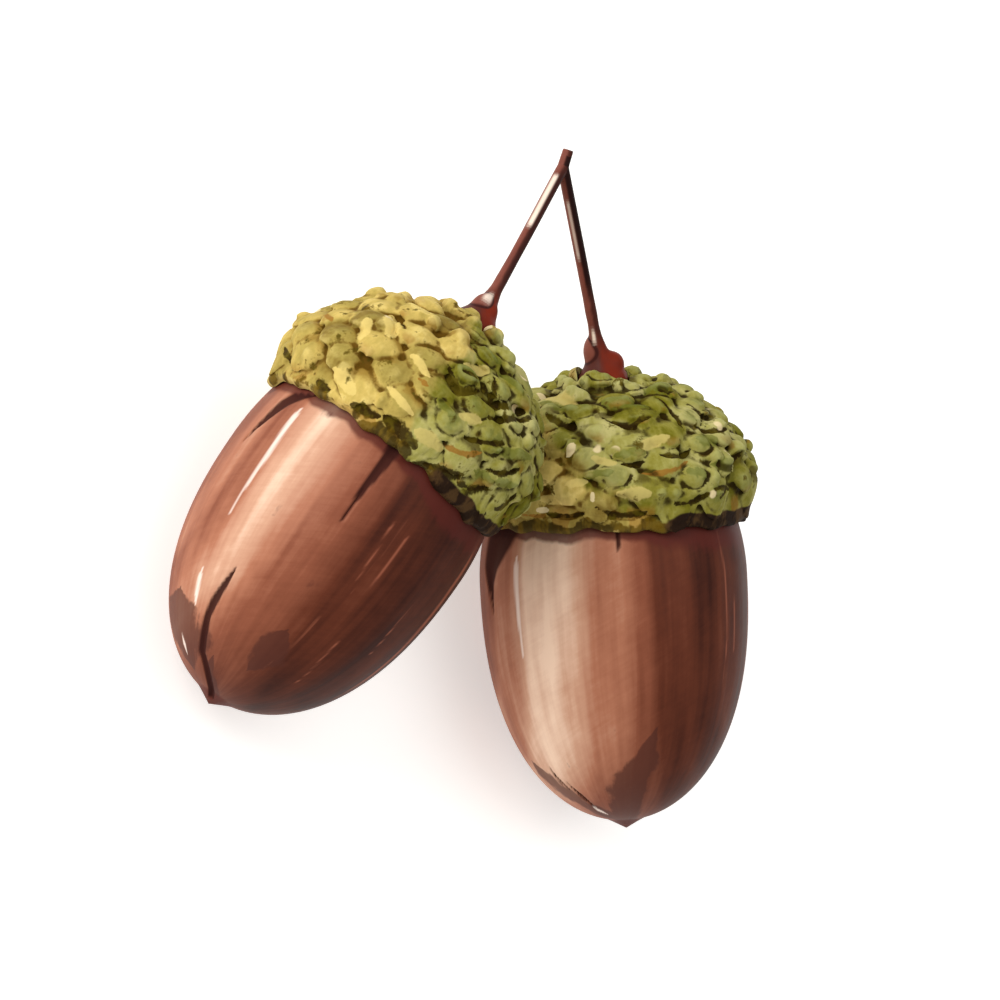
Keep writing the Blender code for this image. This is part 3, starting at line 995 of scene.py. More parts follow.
def arm_points(acorn, end, end_radius):
    """(point, radius) along one arm, from its foot in the cup's top to past the fork."""
    place = acorn.lie()
    foot = place @ Vector((0, 0, acorn.cup_height - FOOT_DEPTH))
    axis = place.to_3x3() @ Vector((0, 0, 1))
    fork = Vector(FORK)
    onward = (fork - foot).normalized()
    lean = place.to_3x3() @ (Vector(FOOT_LEANS[acorn.side]) * MM)
    bends = (foot, foot + axis * FOOT_RUN + lean, fork - onward * FORK_RUN, fork)
    path = geometry.interpolate_bezier(*bends, ARM_POINTS)
    distances, radii = zip(*FOOT_GIRTH)
    passed = 0.0
    rows = []
    for index, point in enumerate(path):
        passed += (point - path[max(index - 1, 0)]).length
        radius = float(np.interp(passed / MM, distances, radii)) * MM
        rows.append((point, max(radius, STALK_RADIUS if passed > FULL_GIRTH_FROM else 0)))
    rows.append((Vector(end), end_radius))
    return rows


print("left arm:", len(arm_points(LEFT, CUT_END, CUT_RADIUS)), "points from its foot to the cut")

# %% An arm as a tube, and the swellings at its foot
def add_arm(rows):
    """A round tube whose radius follows the rows, with closed ends."""
    curve = bpy.data.curves.new("arm", "CURVE")
    curve.dimensions = "3D"
    curve.bevel_depth = 1 * MM
    curve.bevel_resolution = 6
    curve.use_fill_caps = True
    line = curve.splines.new("POLY")
    line.points.add(len(rows) - 1)
    for point, (place, radius) in zip(line.points, rows):
        point.co = (*place, 1)
        point.radius = radius / MM
    arm = bpy.data.objects.new("arm", curve)
    bpy.context.scene.collection.objects.link(arm)
    only(arm)
    bpy.ops.object.convert(target="MESH")
    return bpy.context.object


def add_lump(acorn, lump):
    """A long ball at its place on the acorn as it lies."""
    middle, radius, half_height = lump
    bpy.ops.object.select_all(action="DESELECT")
    bpy.ops.mesh.primitive_uv_sphere_add(
        segments=32,
        ring_count=16,
        radius=radius * MM,
        location=acorn.lie() @ (Vector(middle) * MM),
        rotation=acorn.lie().to_euler(),
        scale=(1, 1, half_height / radius),
    )
    return bpy.context.object


def from_knuckle(points, acorn, sizes=(1, 1, 1)):
    """How far each point is from the middle of this acorn's knuckle, in millimetres or in these
    sizes."""
    away = upright_again(points, acorn) / MM - np.array(KNUCKLES[acorn.side][0])
    return np.linalg.norm(away / sizes, axis=1)


def knuckle_share(points):
    """1 in the middle of the nearer knuckle, and 0 at KNUCKLE_REACH times its size and beyond."""
    share = np.zeros(len(points))
    for acorn in (LEFT, RIGHT):
        _, radius, half_height = KNUCKLES[acorn.side]
        away = from_knuckle(points, acorn, (radius, radius, half_height))
        share = np.maximum(share, 1 - away / KNUCKLE_REACH)
    return share


# %% Grow both arms and their knuckles together
STALK_VOXEL = 0.075 * MM
FOOT_ROUNDS = 34
FOOT_EDGE = (2.0, 3.2)
PAST_FORK = 0.3

arms = {
    "left": arm_points(LEFT, CUT_END, CUT_RADIUS),
    "right": arm_points(RIGHT, Vector(FORK).lerp(Vector(CUT_END), PAST_FORK), CUT_RADIUS),
}
stalk = add_arm(arms["left"])
others = [add_arm(arms["right"])]
for acorn in (LEFT, RIGHT):
    others += [add_lump(acorn, lumps[acorn.side]) for lumps in (KNUCKLES, FLARES)]
only(stalk)
for other in others:
    other.select_set(True)
bpy.ops.object.join()
bpy.ops.object.transform_apply()
stalk.name = "acorn_stalk"
apply_modifier(stalk, "REMESH", mode="VOXEL", voxel_size=STALK_VOXEL, adaptivity=0.0)
apply_modifier(stalk, "SMOOTH", factor=0.5, iterations=4)
points = read_points(stalk)
near_foot = np.zeros(len(points))
for acorn in (LEFT, RIGHT):
    near_foot = np.maximum(near_foot, 1 - smooth_step(*FOOT_EDGE, from_knuckle(points, acorn)))
even = softened(stalk, points, FOOT_ROUNDS)
write_points(stalk, points + near_foot[:, None] * (even - points))
print(stalk.name, len(stalk.data.polygons), "faces")

# %% [markdown]
# Shader sums as plain Python.
# A material is a network of nodes. Written node by node it is long, so one small class wraps a
# socket: adding or multiplying two of them adds the Math node that does it. Colours are written
# as they are seen, from 0 to 255, and turned into the linear values that a shader takes.

# %% A socket that sums and products can be written with
class Wire:
    """An output socket in one material's network, which sums and products can be written with."""

    def __init__(self, network, socket):
        self.network = network
        self.socket = socket

    def sum(self, operation, *others, clamp=False):
        node = self.network.nodes.new("ShaderNodeMath")
        node.operation = operation
        node.use_clamp = clamp
        for socket, value in zip(node.inputs, (self, *others)):
            feed(self.network, socket, value)
        return Wire(self.network, node.outputs[0])

    def __add__(self, other):
        return self.sum("ADD", other)

    __radd__ = __add__

    def __sub__(self, other):
        return self.sum("SUBTRACT", other)

    def __rsub__(self, other):
        return (self * -1) + other

    def __mul__(self, other):
        return self.sum("MULTIPLY", other)

    __rmul__ = __mul__

    def clamp(self):
        return self.sum("ADD", 0.0, clamp=True)

    def step(self, low, high):
        """0 below low, 1 above high, and soft between them."""
        return make(
            self.network,
            "ShaderNodeMapRange",
            {"interpolation_type": "SMOOTHSTEP"},
            {"Value": self, "From Min": low, "From Max": high},
            "Result",
        )


# %% Feed sockets, make nodes, blend and ramp colours
def feed(network, socket, value):
    """Links a wire to a socket, or sets a plain value on it."""
    if isinstance(value, Wire):
        network.links.new(value.socket, socket)
    elif isinstance(value, tuple) and len(value) == 3 and len(socket.default_value) == 4:
        socket.default_value = (*value, 1)
    else:
        socket.default_value = value


def make(network, kind, settings=None, values=None, output=0):
    """Adds a node, sets it, feeds its sockets and returns one output as a wire."""
    node = network.nodes.new(kind)
    for name, value in (settings or {}).items():
        setattr(node, name, value)
    for name, value in (values or {}).items():
        feed(network, node.inputs[name], value)
    return Wire(network, node.outputs[output])


def linear(seen):
    """A colour as seen, from 0 to 255, turned into the linear values that a shader takes."""
    shares = [value / 255 for value in seen]
    return tuple(s / 12.92 if s <= 0.04045 else ((s + 0.055) / 1.055) ** 2.4 for s in shares)


def blend(network, share, first, second):
    """The first colour where share is 0 and the second where it is 1. Each is a wire or a colour
    as seen."""
    node = network.nodes.new("ShaderNodeMix")
    node.data_type = "RGBA"
    feed(network, node.inputs["Factor"], share)
    for socket, colour in ((node.inputs[6], first), (node.inputs[7], second)):
        feed(network, socket, colour if isinstance(colour, Wire) else linear(colour))
    return Wire(network, node.outputs[2])


def painted(network, colour, *layers):
    """The colour with layers of (share, colour) over it, the first of them undermost."""
    for share, top in layers:
        colour = blend(network, share, colour, top)
    return colour


def ramp(network, share, stops):
    """A colour ramp from stops of a position and a colour as seen."""
    node = network.nodes.new("ShaderNodeValToRGB")
    elements = node.color_ramp.elements
    while len(elements) < len(stops):
        elements.new(0.5)
    for element, (position, seen) in zip(elements, stops.items()):
        element.position = position
        element.color = (*linear(seen), 1)
    feed(network, node.inputs[0], share)
    return Wire(network, node.outputs[0])


print("wine red", (88, 34, 27), "is to a shader", [round(part, 3) for part in linear((88, 34, 27))])

# %% Textures, notes and bumps
def noted(network, name, output="Fac"):
    """The number, or with output Vector the vector, noted on the piece under this name."""
    return make(network, "ShaderNodeAttribute", {"attribute_name": name}, {}, output)


def texture_noise(network, vector, scale, detail=2.0, roughness=0.5):
    """Soft noise from 0 to 1. A larger scale makes smaller blotches."""
    values = {"Vector": vector, "Scale": scale, "Detail": detail, "Roughness": roughness}
    return make(network, "ShaderNodeTexNoise", {}, values, 0)


def scaled(network, vector, by):
    """The vector with each of its parts multiplied, which stretches a texture along one way."""
    values = {0: vector, 1: by}
    return make(network, "ShaderNodeVectorMath", {"operation": "MULTIPLY"}, values)


def new_material(name):
    """A new material, its network and its Principled shader."""
    material = bpy.data.materials.new(name)
    material.use_nodes = True
    network = material.node_tree
    return material, network, network.nodes["Principled BSDF"]


def bumped(network, height, distance, strength):
    """A surface that seems raised by the height, which counts in steps of distance."""
    values = {"Height": height, "Distance": distance, "Strength": strength}
    return make(network, "ShaderNodeBump", {}, values)


# %% [markdown]
# The nuts' finish.
# The shell is reddish brown and softly shining, with long paler and darker bands that run straight
# down its front, fine scratches, dark patches near the tip and dark, split cracks. The bands are
# partly the shell's own streaks and partly painted light and shade: a painted highlight on the pale
# bands left of the front, and painted shade on the dark bands to its right. The tone also grows
# dimmer towards the tip. Under the cup lies a wine-red band that is the cup's painted shadow on the
# shell, and some of the dark patches near the tip are painted shade. A picture wrapped round it
# would show seams and stretch at the tip, so each point notes its own tone, where it is round the
# nut and how far down. Noise that is stretched along those notes makes streaks that close in on the
# tip by themselves. The glints are painted too, because real ones would move with the light and
# leave the place they have here.

# %% The bands, glints, embers and dark patches of each nut
# A band is (degrees from the front, tone). The rest are strokes, as the cracks are.
# The high tones left of the front are a painted highlight, the low ones on the right are painted
# shade, and round the back the bands are the shell's own streaks.
BANDS = {
    "right": (
        (-180, 0.42), (-165, 0.55), (-150, 0.36), (-138, 0.5), (-120, 0.3), (-104, 0.46),
        (-90, 0.34), (-74, 0.4), (-68, 0.5), (-62, 0.68), (-53, 0.62), (-47, 0.68), (-41, 0.94),
        (-30, 1.04), (-21, 0.94), (-16, 0.82), (-11, 0.62), (-2, 0.6), (3, 0.58), (8, 0.44),
        (13, 0.38), (17, 0.2), (24, 0.16), (30, 0.24), (36, 0.12), (44, 0.08), (50, 0.2),
        (60, 0.14), (70, 0.1), (90, 0.05), (102, 0.2), (116, 0.42), (130, 0.28), (146, 0.46),
        (160, 0.34), (180, 0.42),
    ),
    "left": (
        (-180, 0.42), (-165, 0.5), (-150, 0.36), (-138, 0.5), (-120, 0.3), (-104, 0.5),
        (-90, 0.44), (-74, 0.46), (-60, 0.6), (-53, 0.46), (-46, 0.56), (-40, 0.74), (-31, 0.92),
        (-24, 0.8), (-17, 0.62), (-10, 0.5), (-1, 0.44), (5, 0.38), (12, 0.28), (17, 0.1),
        (27, 0.17), (34, 0.08), (48, 0.04), (56, 0.1), (66, 0.04), (90, 0.0), (102, 0.2),
        (116, 0.42), (130, 0.28), (146, 0.46), (160, 0.34), (180, 0.42),
    ),
}
GLINTS = {
    "right": (
        ((1.0, -46, 0.12), (1.8, -46, 0.34), (5.0, -45.5, 0.26), (8.3, -45, 0.0)),
        ((19.6, -34, 0.0), (20.1, -30, 0.26), (20.5, -24, 0.0)),
    ),
    "left": (
        ((1.9, -45, 0.12), (2.6, -45, 0.34), (6.0, -44, 0.28), (11.0, -45, 0.0)),
        ((15.0, -47, 0.0), (15.6, -47, 0.28), (16.8, -46, 0.28), (17.5, -45, 0.0)),
        ((19.4, -60, 0.0), (19.9, -58, 0.26), (20.4, -56, 0.0)),
    ),
}
EMBERS = {
    "right": (
        ((0.0, 54, 0.1), (4.0, 55, 0.16), (7.8, 55.5, 0.12), (10.2, 54, 0.1), (13.5, 53, 0.0)),
        ((3.0, 61, 0.0), (6.0, 62, 0.12), (9.0, 62, 0.0)),
        ((0.0, 80, 0.5), (6.0, 84, 0.6), (12.0, 84, 0.0)),
    ),
    "left": (
        ((3.0, 25.5, 0.0), (7.3, 24.5, 0.16), (10.8, 23, 0.0)),
        ((4.0, 20.5, 0.0), (8.2, 22, 0.14), (12.0, 25, 0.0)),
        ((5.5, 30, 0.0), (8.0, 30, 0.12), (12.5, 31, 0.0)),
        ((2.0, 53, 0.0), (5.0, 54, 0.18), (10.2, 56, 0.14), (14.0, 60, 0.0)),
        ((11.5, 21, 0.0), (14.5, 20, 0.12), (17.5, 19, 0.1), (19.5, 14, 0.0)),
        ((13.0, 36, 0.0), (15.5, 38, 0.14), (18.5, 42, 0.0)),
        ((0.0, 76, 0.6), (12.0, 80, 0.6), (17.0, 82, 0.0)),
    ),
}
# Some patches carry the painted shade of the nut's dark side on down to the tip.
PATCHES = {
    "right": (
        ((16.2, -66, 0.0), (17.2, -62, 2.0), (18.4, -52, 2.4), (19.3, -42, 2.0), (20.5, -26, 1.6),
         (21.5, 0, 0.6)),
        ((13.5, 18, 0.0), (16.0, 12, 1.8), (18.0, 4, 2.8), (19.6, -2, 2.4), (21.4, 0, 1.2)),
    ),
    "left": (
        ((16.8, -64, 0.0), (17.6, -63, 5.2), (18.6, -62, 5.4), (19.5, -60, 4.4), (20.5, -54, 2.0),
         (21.0, -50, 0.0)),
        ((15.4, 12, 0.0), (16.3, 12, 1.8), (17.3, 13, 2.3), (18.4, 12, 1.7), (19.2, 10, 0.0)),
        ((19.6, -20, 0.0), (20.6, -20, 0.9), (21.6, 0, 0.8)),
    ),
}
for side in ("left", "right"):
    kinds = (len(kind[side]) for kind in (GLINTS, EMBERS, PATCHES))
    print(side, "nut: glints, embers and patches", *kinds)

# %% Note them on each nut
DIMMER_DOWN = ((0.08, 5 * MM, 14 * MM), (0.3, 14 * MM, 21 * MM))
TIP_REACH = (0.6 * MM, 2.2 * MM)
RIM_BAND = 1.2 * MM
WIDER_BAND = 1.6
WIDER_FROM, WIDER_TO = (4, 44), (90, 130)
NOTE_UNIT = 10 * MM
SCRATCH_SLANT = math.radians(28.0)


def band_angle(angle, radius, acorn):
    """Angles that keep the bands straight down the front, instead of meeting at the tip."""
    share = np.clip(radius / acorn.nut_radius, 0, 1)
    front = np.degrees(np.arcsin(np.sin(np.radians(np.clip(angle, -90, 90))) * share))
    edge = np.degrees(np.arcsin(share))
    back = np.sign(angle) * (edge + (np.abs(angle) - 90) / 90 * (180 - edge))
    return np.where(np.abs(angle) <= 90, front, back)


NUT_STROKES = {
    "crack": (CRACKS, 0.35),
    "glint": (GLINTS, 0.6),
    "ember": (EMBERS, 0.9),
    "patch": (PATCHES, 1.0),
}


def note_nut(nut, acorn):
    points = upright_again(read_points(nut), acorn)
    angle = degrees_from_front(points, acorn)
    radius = np.hypot(points[:, 0], points[:, 1])
    down = -points[:, 2]
    widest = np.where(down > acorn.nut_widest, radius, acorn.nut_radius)
    tone = np.interp(band_angle(angle, widest, acorn), *zip(*BANDS[acorn.side]))
    tone *= 1 - sum(share * smooth_step(low, high, down) for share, low, high in DIMMER_DOWN)
    for name, (strokes, softness) in NUT_STROKES.items():
        note(nut, **{name: strongest(down, angle, radius, strokes[acorn.side], softness)})
    below = down - acorn.lip_drop - rim_shift(acorn, angle)
    wider = smooth_step(*WIDER_FROM, angle) * (1 - smooth_step(*WIDER_TO, angle))
    turn = np.arctan2(points[:, 1], points[:, 0])
    unrolled = np.radians(angle) * acorn.nut_radius
    across = unrolled * math.cos(SCRATCH_SLANT) - down * math.sin(SCRATCH_SLANT)
    along = unrolled * math.sin(SCRATCH_SLANT) + down * math.cos(SCRATCH_SLANT)
    # The band just under the rim, wider on the right, is the cup's painted shadow on the shell.
    note(
        nut,
        tone=tone,
        tip=(1 - smooth_step(*TIP_REACH, radius)) * (down > 0),
        under_rim=1 - smooth_step(0, 1, below / (RIM_BAND * (1 + WIDER_BAND * wider))),
        grain=np.column_stack((np.cos(turn), np.sin(turn), down / NOTE_UNIT)),
        scratch=np.column_stack((across, along, 0 * down)) / NOTE_UNIT,
    )
    print(nut.name, "tones from", round(tone.min(), 2), "to", round(tone.max(), 2))


for acorn in (LEFT, RIGHT):
    note_nut(nuts[acorn.side], acorn)

# %% The nuts' material
NUT_TONES = {
    0.0: (60, 26, 17),
    0.2: (98, 48, 31),
    0.42: (137, 78, 56),
    0.6: (173, 112, 85),
    0.8: (206, 157, 129),
    1.0: (246, 212, 185),
}


def nut_material(name):
    material, network, shader = new_material(name)
    grain = noted(network, "grain", "Vector")
    broad = texture_noise(network, scaled(network, grain, (1, 1, 0.16)), 4.0, 2.0)
    fine = texture_noise(network, scaled(network, grain, (1, 1, 0.06)), 17.0, 4.0)
    place = make(network, "ShaderNodeTexCoord", output="Object")
    blotch = texture_noise(network, place, 330.0, 4.0, 0.6)
    slanted = noted(network, "scratch", "Vector")
    scratch = texture_noise(network, scaled(network, slanted, (3, 26, 1)), 1.0, 5.0, 0.7)
    # The tone holds the bands' painted highlight and painted shade as well as the shell's own
    # streaks.
    tone = noted(network, "tone") + (broad - 0.5) * 0.34 + (fine - 0.5) * 0.2
    tone = tone + (blotch - 0.5) * 0.2 + (scratch - 0.5) * 0.1
    shell = ramp(network, tone, NUT_TONES)
    ember = noted(network, "ember") * fine.step(0.35, 0.6)
    # Dark patches near the tip, partly painted shade.
    patch = noted(network, "patch") + (blotch - 0.5) * 1.7 + (fine - 0.5) * 0.7
    # The cup's painted shadow, wine red, on the shell just under the rim.
    wine = noted(network, "under_rim") * 1.4 + (blotch - 0.5) * 1.5 + (fine - 0.5) * 0.5
    tip = (noted(network, "tip") + (blotch - 0.5) * 0.5).step(0.25, 0.75)
    crack = noted(network, "crack")
    glint = noted(network, "glint") * (0.75 + fine * 0.3)
    colour = painted(
        network,
        shell,
        (ember * 0.85, (160, 92, 68)),
        (patch.step(0.3, 0.62) * 0.78, (80, 42, 33)),
        (wine.step(0.25, 0.95) * 0.82, (88, 34, 27)),
        (tip * 0.85, (92, 42, 34)),
        (crack * 0.95, (58, 27, 23)),
        (glint.clamp(), (246, 226, 212)),
    )
    feed(network, shader.inputs["Base Color"], colour)
    gloss = 0.42 + fine * 0.14 + scratch * 0.1 + crack * 0.4
    feed(network, shader.inputs["Roughness"], gloss)
    shader.inputs["Specular IOR Level"].default_value = 0.09
    feed(network, shader.inputs["Coat Weight"], (1 - crack) * 0.02)
    shader.inputs["Coat Roughness"].default_value = 0.2
    height = broad * 0.3 + fine * 0.4 + scratch * 0.25
    feed(network, shader.inputs["Normal"], bumped(network, height, 0.06 * MM, 0.6))
    return material


nut_shell = nut_material("nut shell")
print("nut shell:", len(nut_shell.node_tree.nodes), "nodes")

# %% [markdown]
# The cups' finish.
# On the left cup most scales are straw yellow and the right side is green, and the right cup is
# green with khaki at its lower left. Every scale has its own tone, small cream spots and ochre
# edges are dotted about, and the bare lip is dark brown. The dark olive to brown in the crevices
# and grooves between the scales, and the dark crescent just under each overlapping scale, are
# painted shade. The crowns of the scales carry a painted highlight, and near the stalk's foot the
# green scales are painted lighter to offset the shade among them. Noise alone would ignore the
# scales, so each point notes the tone of its own scale, how deep it lies, how yellow its part of
# the cup is and which single dabs it lies in. The material then lays one colour over another, as a
# painter does.

# %% Note the scales, the crevices and the colour zones on each cup
FOOT_ZONE, FOOT_LIGHTER = (5, 9), 0.2
GREEN_ZONE, GREEN_LIGHTER = (0, 0.6), 0.16
LIP_ZONE, LIP_DARKER = (2.0, 5.0), 0.16
LEFT_LIP_ZONE, LEFT_LIP_STRENGTH = (25, 50), 1.6
TONE_ROUNDS, CURL_ROUNDS, LIP_ROUNDS = 3, 1, 2
CREVICE_ROUNDS, VALLEY_ROUNDS = 6, 60
STROKE_STRETCH = 0.45
BARE_OFF = (0.1 * MM, 0.3 * MM)
BARE_FROM = (0.2, 0.5)
BARE_HEIGHT = (0.8 * MM, 1.4 * MM)
EDGE_HEIGHT = (0.1 * MM, 1.8 * MM)
LEFT_EDGE = ((-100, -80, -24, -8), (1, 0.62, 0.62, 1))


def tone_shift(acorn, height, angle, yellow):
    """How much lighter or darker a part of the cup is than its scales' own tones."""
    # Near the stalk's foot the green scales are painted lighter, as painted light that offsets the
    # shade among the scales there.
    near_foot = smooth_step(*FOOT_ZONE, height) * (1 - yellow)
    near_lip = 1 - smooth_step(*LIP_ZONE, height)
    if acorn.side == "right":
        return FOOT_LIGHTER * near_foot - LIP_DARKER * near_lip
    green_side = smooth_step(*GREEN_ZONE, np.sin(np.radians(angle)))
    near_lip *= LEFT_LIP_STRENGTH * smooth_step(*LEFT_LIP_ZONE, angle)
    return FOOT_LIGHTER * near_foot + GREEN_LIGHTER * green_side - LIP_DARKER * near_lip


def note_cup(cup, acorn):
    points = upright_again(read_points(cup), acorn)
    angle = degrees_from_front(points, acorn)
    owner, spot, off = owning_scale(points, acorn)
    yellow = yellowness(points, angle, acorn)
    even = np.column_stack((scale_tones(acorn)[owner], spot[:, 0]))
    even = softened(cup, even, TONE_ROUNDS)
    curled = softened(cup, np.column_stack(curls(points, acorn)), CURL_ROUNDS)
    turn = np.arctan2(points[:, 1], points[:, 0])
    upwards = STROKE_STRETCH * points[:, 2] / acorn.cup_radius
    below = points[:, 2] + acorn.lip_drop + rim_shift(acorn, angle)
    bare = smooth_step(*BARE_OFF, off) * smooth_step(*BARE_FROM, bareness(angle))
    bare = bare * (1 - smooth_step(*BARE_HEIGHT, below))
    edge = 1 - smooth_step(*EDGE_HEIGHT, below)
    if acorn.side == "left":
        edge *= np.interp(angle, *LEFT_EDGE)
    note(
        cup,
        tone=even[:, 0] + tone_shift(acorn, points[:, 2] / MM, angle, yellow),
        second_tone=even[:, 1],
        tip=even[:, 2],
        core=curled[:, 0],
        groove=curled[:, 1],
        crevice=depth_below(cup, CREVICE_ROUNDS),
        valley=depth_below(cup, VALLEY_ROUNDS),
        strokes=np.column_stack((np.cos(turn), np.sin(turn), upwards)),
        yellow=yellow,
        lip=softened(cup, bare[:, None], LIP_ROUNDS)[:, 0],
        rim_edge=edge,
        **dict(zip(MARK_KINDS, mark_shares(points, acorn).T)),
    )
    print(cup.name, "is yellow over", round(100 * yellow.mean()), "% of its points")


for acorn in (LEFT, RIGHT):
    note_cup(cups[acorn.side], acorn)

# %% The cups' material
GREENS = {
    0.0: (86, 81, 8),
    0.25: (113, 108, 26),
    0.5: (139, 132, 54),
    0.75: (163, 157, 86),
    1.0: (184, 176, 112),
}
STRAWS = {
    0.0: (130, 108, 46),
    0.25: (156, 136, 66),
    0.5: (178, 156, 80),
    0.75: (200, 174, 94),
    1.0: (224, 200, 120),
}


def cup_material(name):
    material, network, shader = new_material(name)
    place = make(network, "ShaderNodeTexCoord", output="Object")
    cloud = texture_noise(network, place, 240.0, 3.0, 0.55)
    dab = texture_noise(network, noted(network, "strokes", "Vector"), 9.0, 3.0, 0.6)
    knob = texture_noise(network, place, 760.0, 3.0, 0.6)
    speck = texture_noise(network, place, 2400.0, 2.0, 0.6)
    tone = noted(network, "tone")
    second = noted(network, "second_tone")
    tip = noted(network, "tip")
    valley = noted(network, "valley")
    zone = noted(network, "yellow") + (cloud - 0.5) * 0.9 + (tone - 0.5) * 0.3
    zone = (zone + (dab - 0.5) * 0.4).step(0.38, 0.62)
    mottled = (dab - 0.5) * 1.0 + (knob - 0.5) * 0.8 + (speck - 0.5) * 0.3
    ragged = (dab - 0.5) * 1.0 + (knob - 0.5) * 1.7 + (speck - 0.5) * 0.8

    def zoned(green, straw):
        """One colour for the green parts and another for the yellow ones."""
        return blend(network, zone, green, straw)

    scales = zoned(
        ramp(network, tone * 0.85 + mottled + 0.03, GREENS),
        ramp(network, second * 0.8 + mottled + 0.04, STRAWS),
    )
    # Painted shade in the broad hollows between the scales.
    low = (valley + (knob - 0.5) * 5.0).step(0.0, 2.6)
    core = noted(network, "core") * (dab + knob).step(0.85, 1.1)
    # Painted shade: a dark crescent on each scale just under the free edge of the scale that
    # overlaps it.
    under = (tip * -1 + ragged * 0.5).step(0.2, 0.55)
    under = under * (second + (cloud - 0.5)).step(0.25, 0.5)
    big_knob = (noted(network, "knob") + ragged).step(0.2, 0.5)
    edge = tip.step(0.5, 0.9) * (second + (knob - 0.5)).step(0.55, 0.7)
    # A painted highlight on the crowns of the scales.
    crest_highlight = (valley * -1 + (speck - 0.5) * 1.5).step(1.4, 3.4)
    ochre = (noted(network, "ochre") + ragged).step(0.3, 0.6)
    # Painted shade in the groove round each curled knob.
    groove = (noted(network, "groove") + (knob - 0.5) * 0.5).step(0.3, 0.7)
    groove_colour = blend(network, knob.step(0.5, 0.65), (50, 44, 2), (80, 62, 8))
    # Painted shade in the narrow crevices between the scales.
    deep = (noted(network, "crevice") + (knob - 0.5) * 1.0).step(0.0, 0.55)
    pale = (noted(network, "pale") + ragged * 0.55).step(0.2, 0.45)
    shade = (noted(network, "shade") + ragged).step(0.2, 0.5)
    shade_colour = blend(network, knob.step(0.45, 0.6), (42, 28, 0), (80, 68, 8))
    rim = noted(network, "rim_edge") + (knob - 0.5) * 1.8 + (cloud - 0.5) * 2.6
    rim_colour = blend(network, dab.step(0.42, 0.58), (48, 33, 1), (100, 76, 10))
    spots = make(
        network,
        "ShaderNodeTexVoronoi",
        {"feature": "F1"},
        {"Vector": place, "Scale": 290.0, "Randomness": 1.0},
        0,
    )
    cream = (1 - spots.step(0.1, 0.14)) * (tone + (cloud - 0.5)).step(0.55, 0.65)
    cream = (cream + (noted(network, "spot") + (speck - 0.5) * 0.4).step(0.25, 0.45)).clamp()
    lip = (noted(network, "lip") + (knob - 0.5) * 0.5).step(0.3, 0.6)
    lip_colour = blend(network, (dab + knob * 0.5).step(0.7, 0.85), (38, 24, 14), (76, 54, 30))
    colour = painted(
        network,
        scales,
        (low * 0.8, zoned((66, 60, 4), (138, 106, 34))),
        (core * 0.7, (98, 102, 34)),
        (under * 0.75, zoned((64, 50, 2), (138, 106, 36))),
        (big_knob * 0.75, zoned((98, 102, 32), (152, 128, 56))),
        (edge * 0.6, (142, 96, 30)),
        (crest_highlight * 0.4, zoned((164, 166, 104), (230, 208, 130))),
        (ochre * 0.85, (146, 100, 34)),
        (groove * 0.85, groove_colour),
        (deep * 0.92, zoned((40, 27, 0), (92, 64, 10))),
        (pale * 0.8, zoned((196, 178, 104), (222, 197, 116))),
        (shade * 0.92, shade_colour),
        (rim.step(0.62, 0.86) * 0.9, rim_colour),
        (cream * 0.9, (228, 208, 160)),
        (lip, lip_colour),
    )
    feed(network, shader.inputs["Base Color"], colour)
    feed(network, shader.inputs["Roughness"], 0.62 + knob * 0.2)
    shader.inputs["Specular IOR Level"].default_value = 0.06
    height = dab * 0.35 + knob * 0.7 + speck * 0.2
    feed(network, shader.inputs["Normal"], bumped(network, height, 0.22 * MM, 0.8))
    return material


cup_crust = cup_material("cup crust")
print("cup crust:", len(cup_crust.node_tree.nodes), "nodes")

# %% [markdown]
# The stalk's finish.
# The stalk is smooth bark with fine lines along it, mauve brown on one side and darker on the
# other; the darker side is painted shade, parts of the arms carry a near-black painted shade on
# that side, and the long pale shines are painted highlights. The knuckles are mauve with a dark
# outline, and the flares beside them are brick red. A stalk has no flat sheet to draw on, so each
# point looks up the nearest step of its own arm and notes how far along it lies and on which side.
# Colours follow from those two.

# %% Note where each point of the stalk is on its arm
# A shine is a share of the arm from and to, its middle and half width across, and its strength.
# A dark side is a share of the arm from and to, and its strength.
# Each shine is a painted highlight, and each dark side is painted shade.
SHINES = {
    "left": ((0.58, 0.89, -0.35, 0.42, 1.0), (0.17, 0.22, -0.2, 0.3, 1.0)),
    "right": ((0.55, 0.79, -0.4, 0.24, 0.55), (0.23, 0.275, -0.35, 0.26, 1.0)),
}
DARK_SIDES = {"left": (0.3, 0.92, 0.5), "right": (0.42, 1.1, 1.0)}
SHINE_SOFT, DARK_SOFT = 0.02, 0.06
DARK_FROM = (-0.3, 0.1)
FOOT_SHARE = (0.16, 0.28)
PAINT_TURN = math.radians(46.0)
POINTS_AT_ONCE = 4000


def window(low, high, soft, values):
    """1 between low and high, fading to 0 over soft at both ends."""
    rising = smooth_step(low - soft, low + soft, values)
    return rising * (1 - smooth_step(high - soft, high + soft, values))


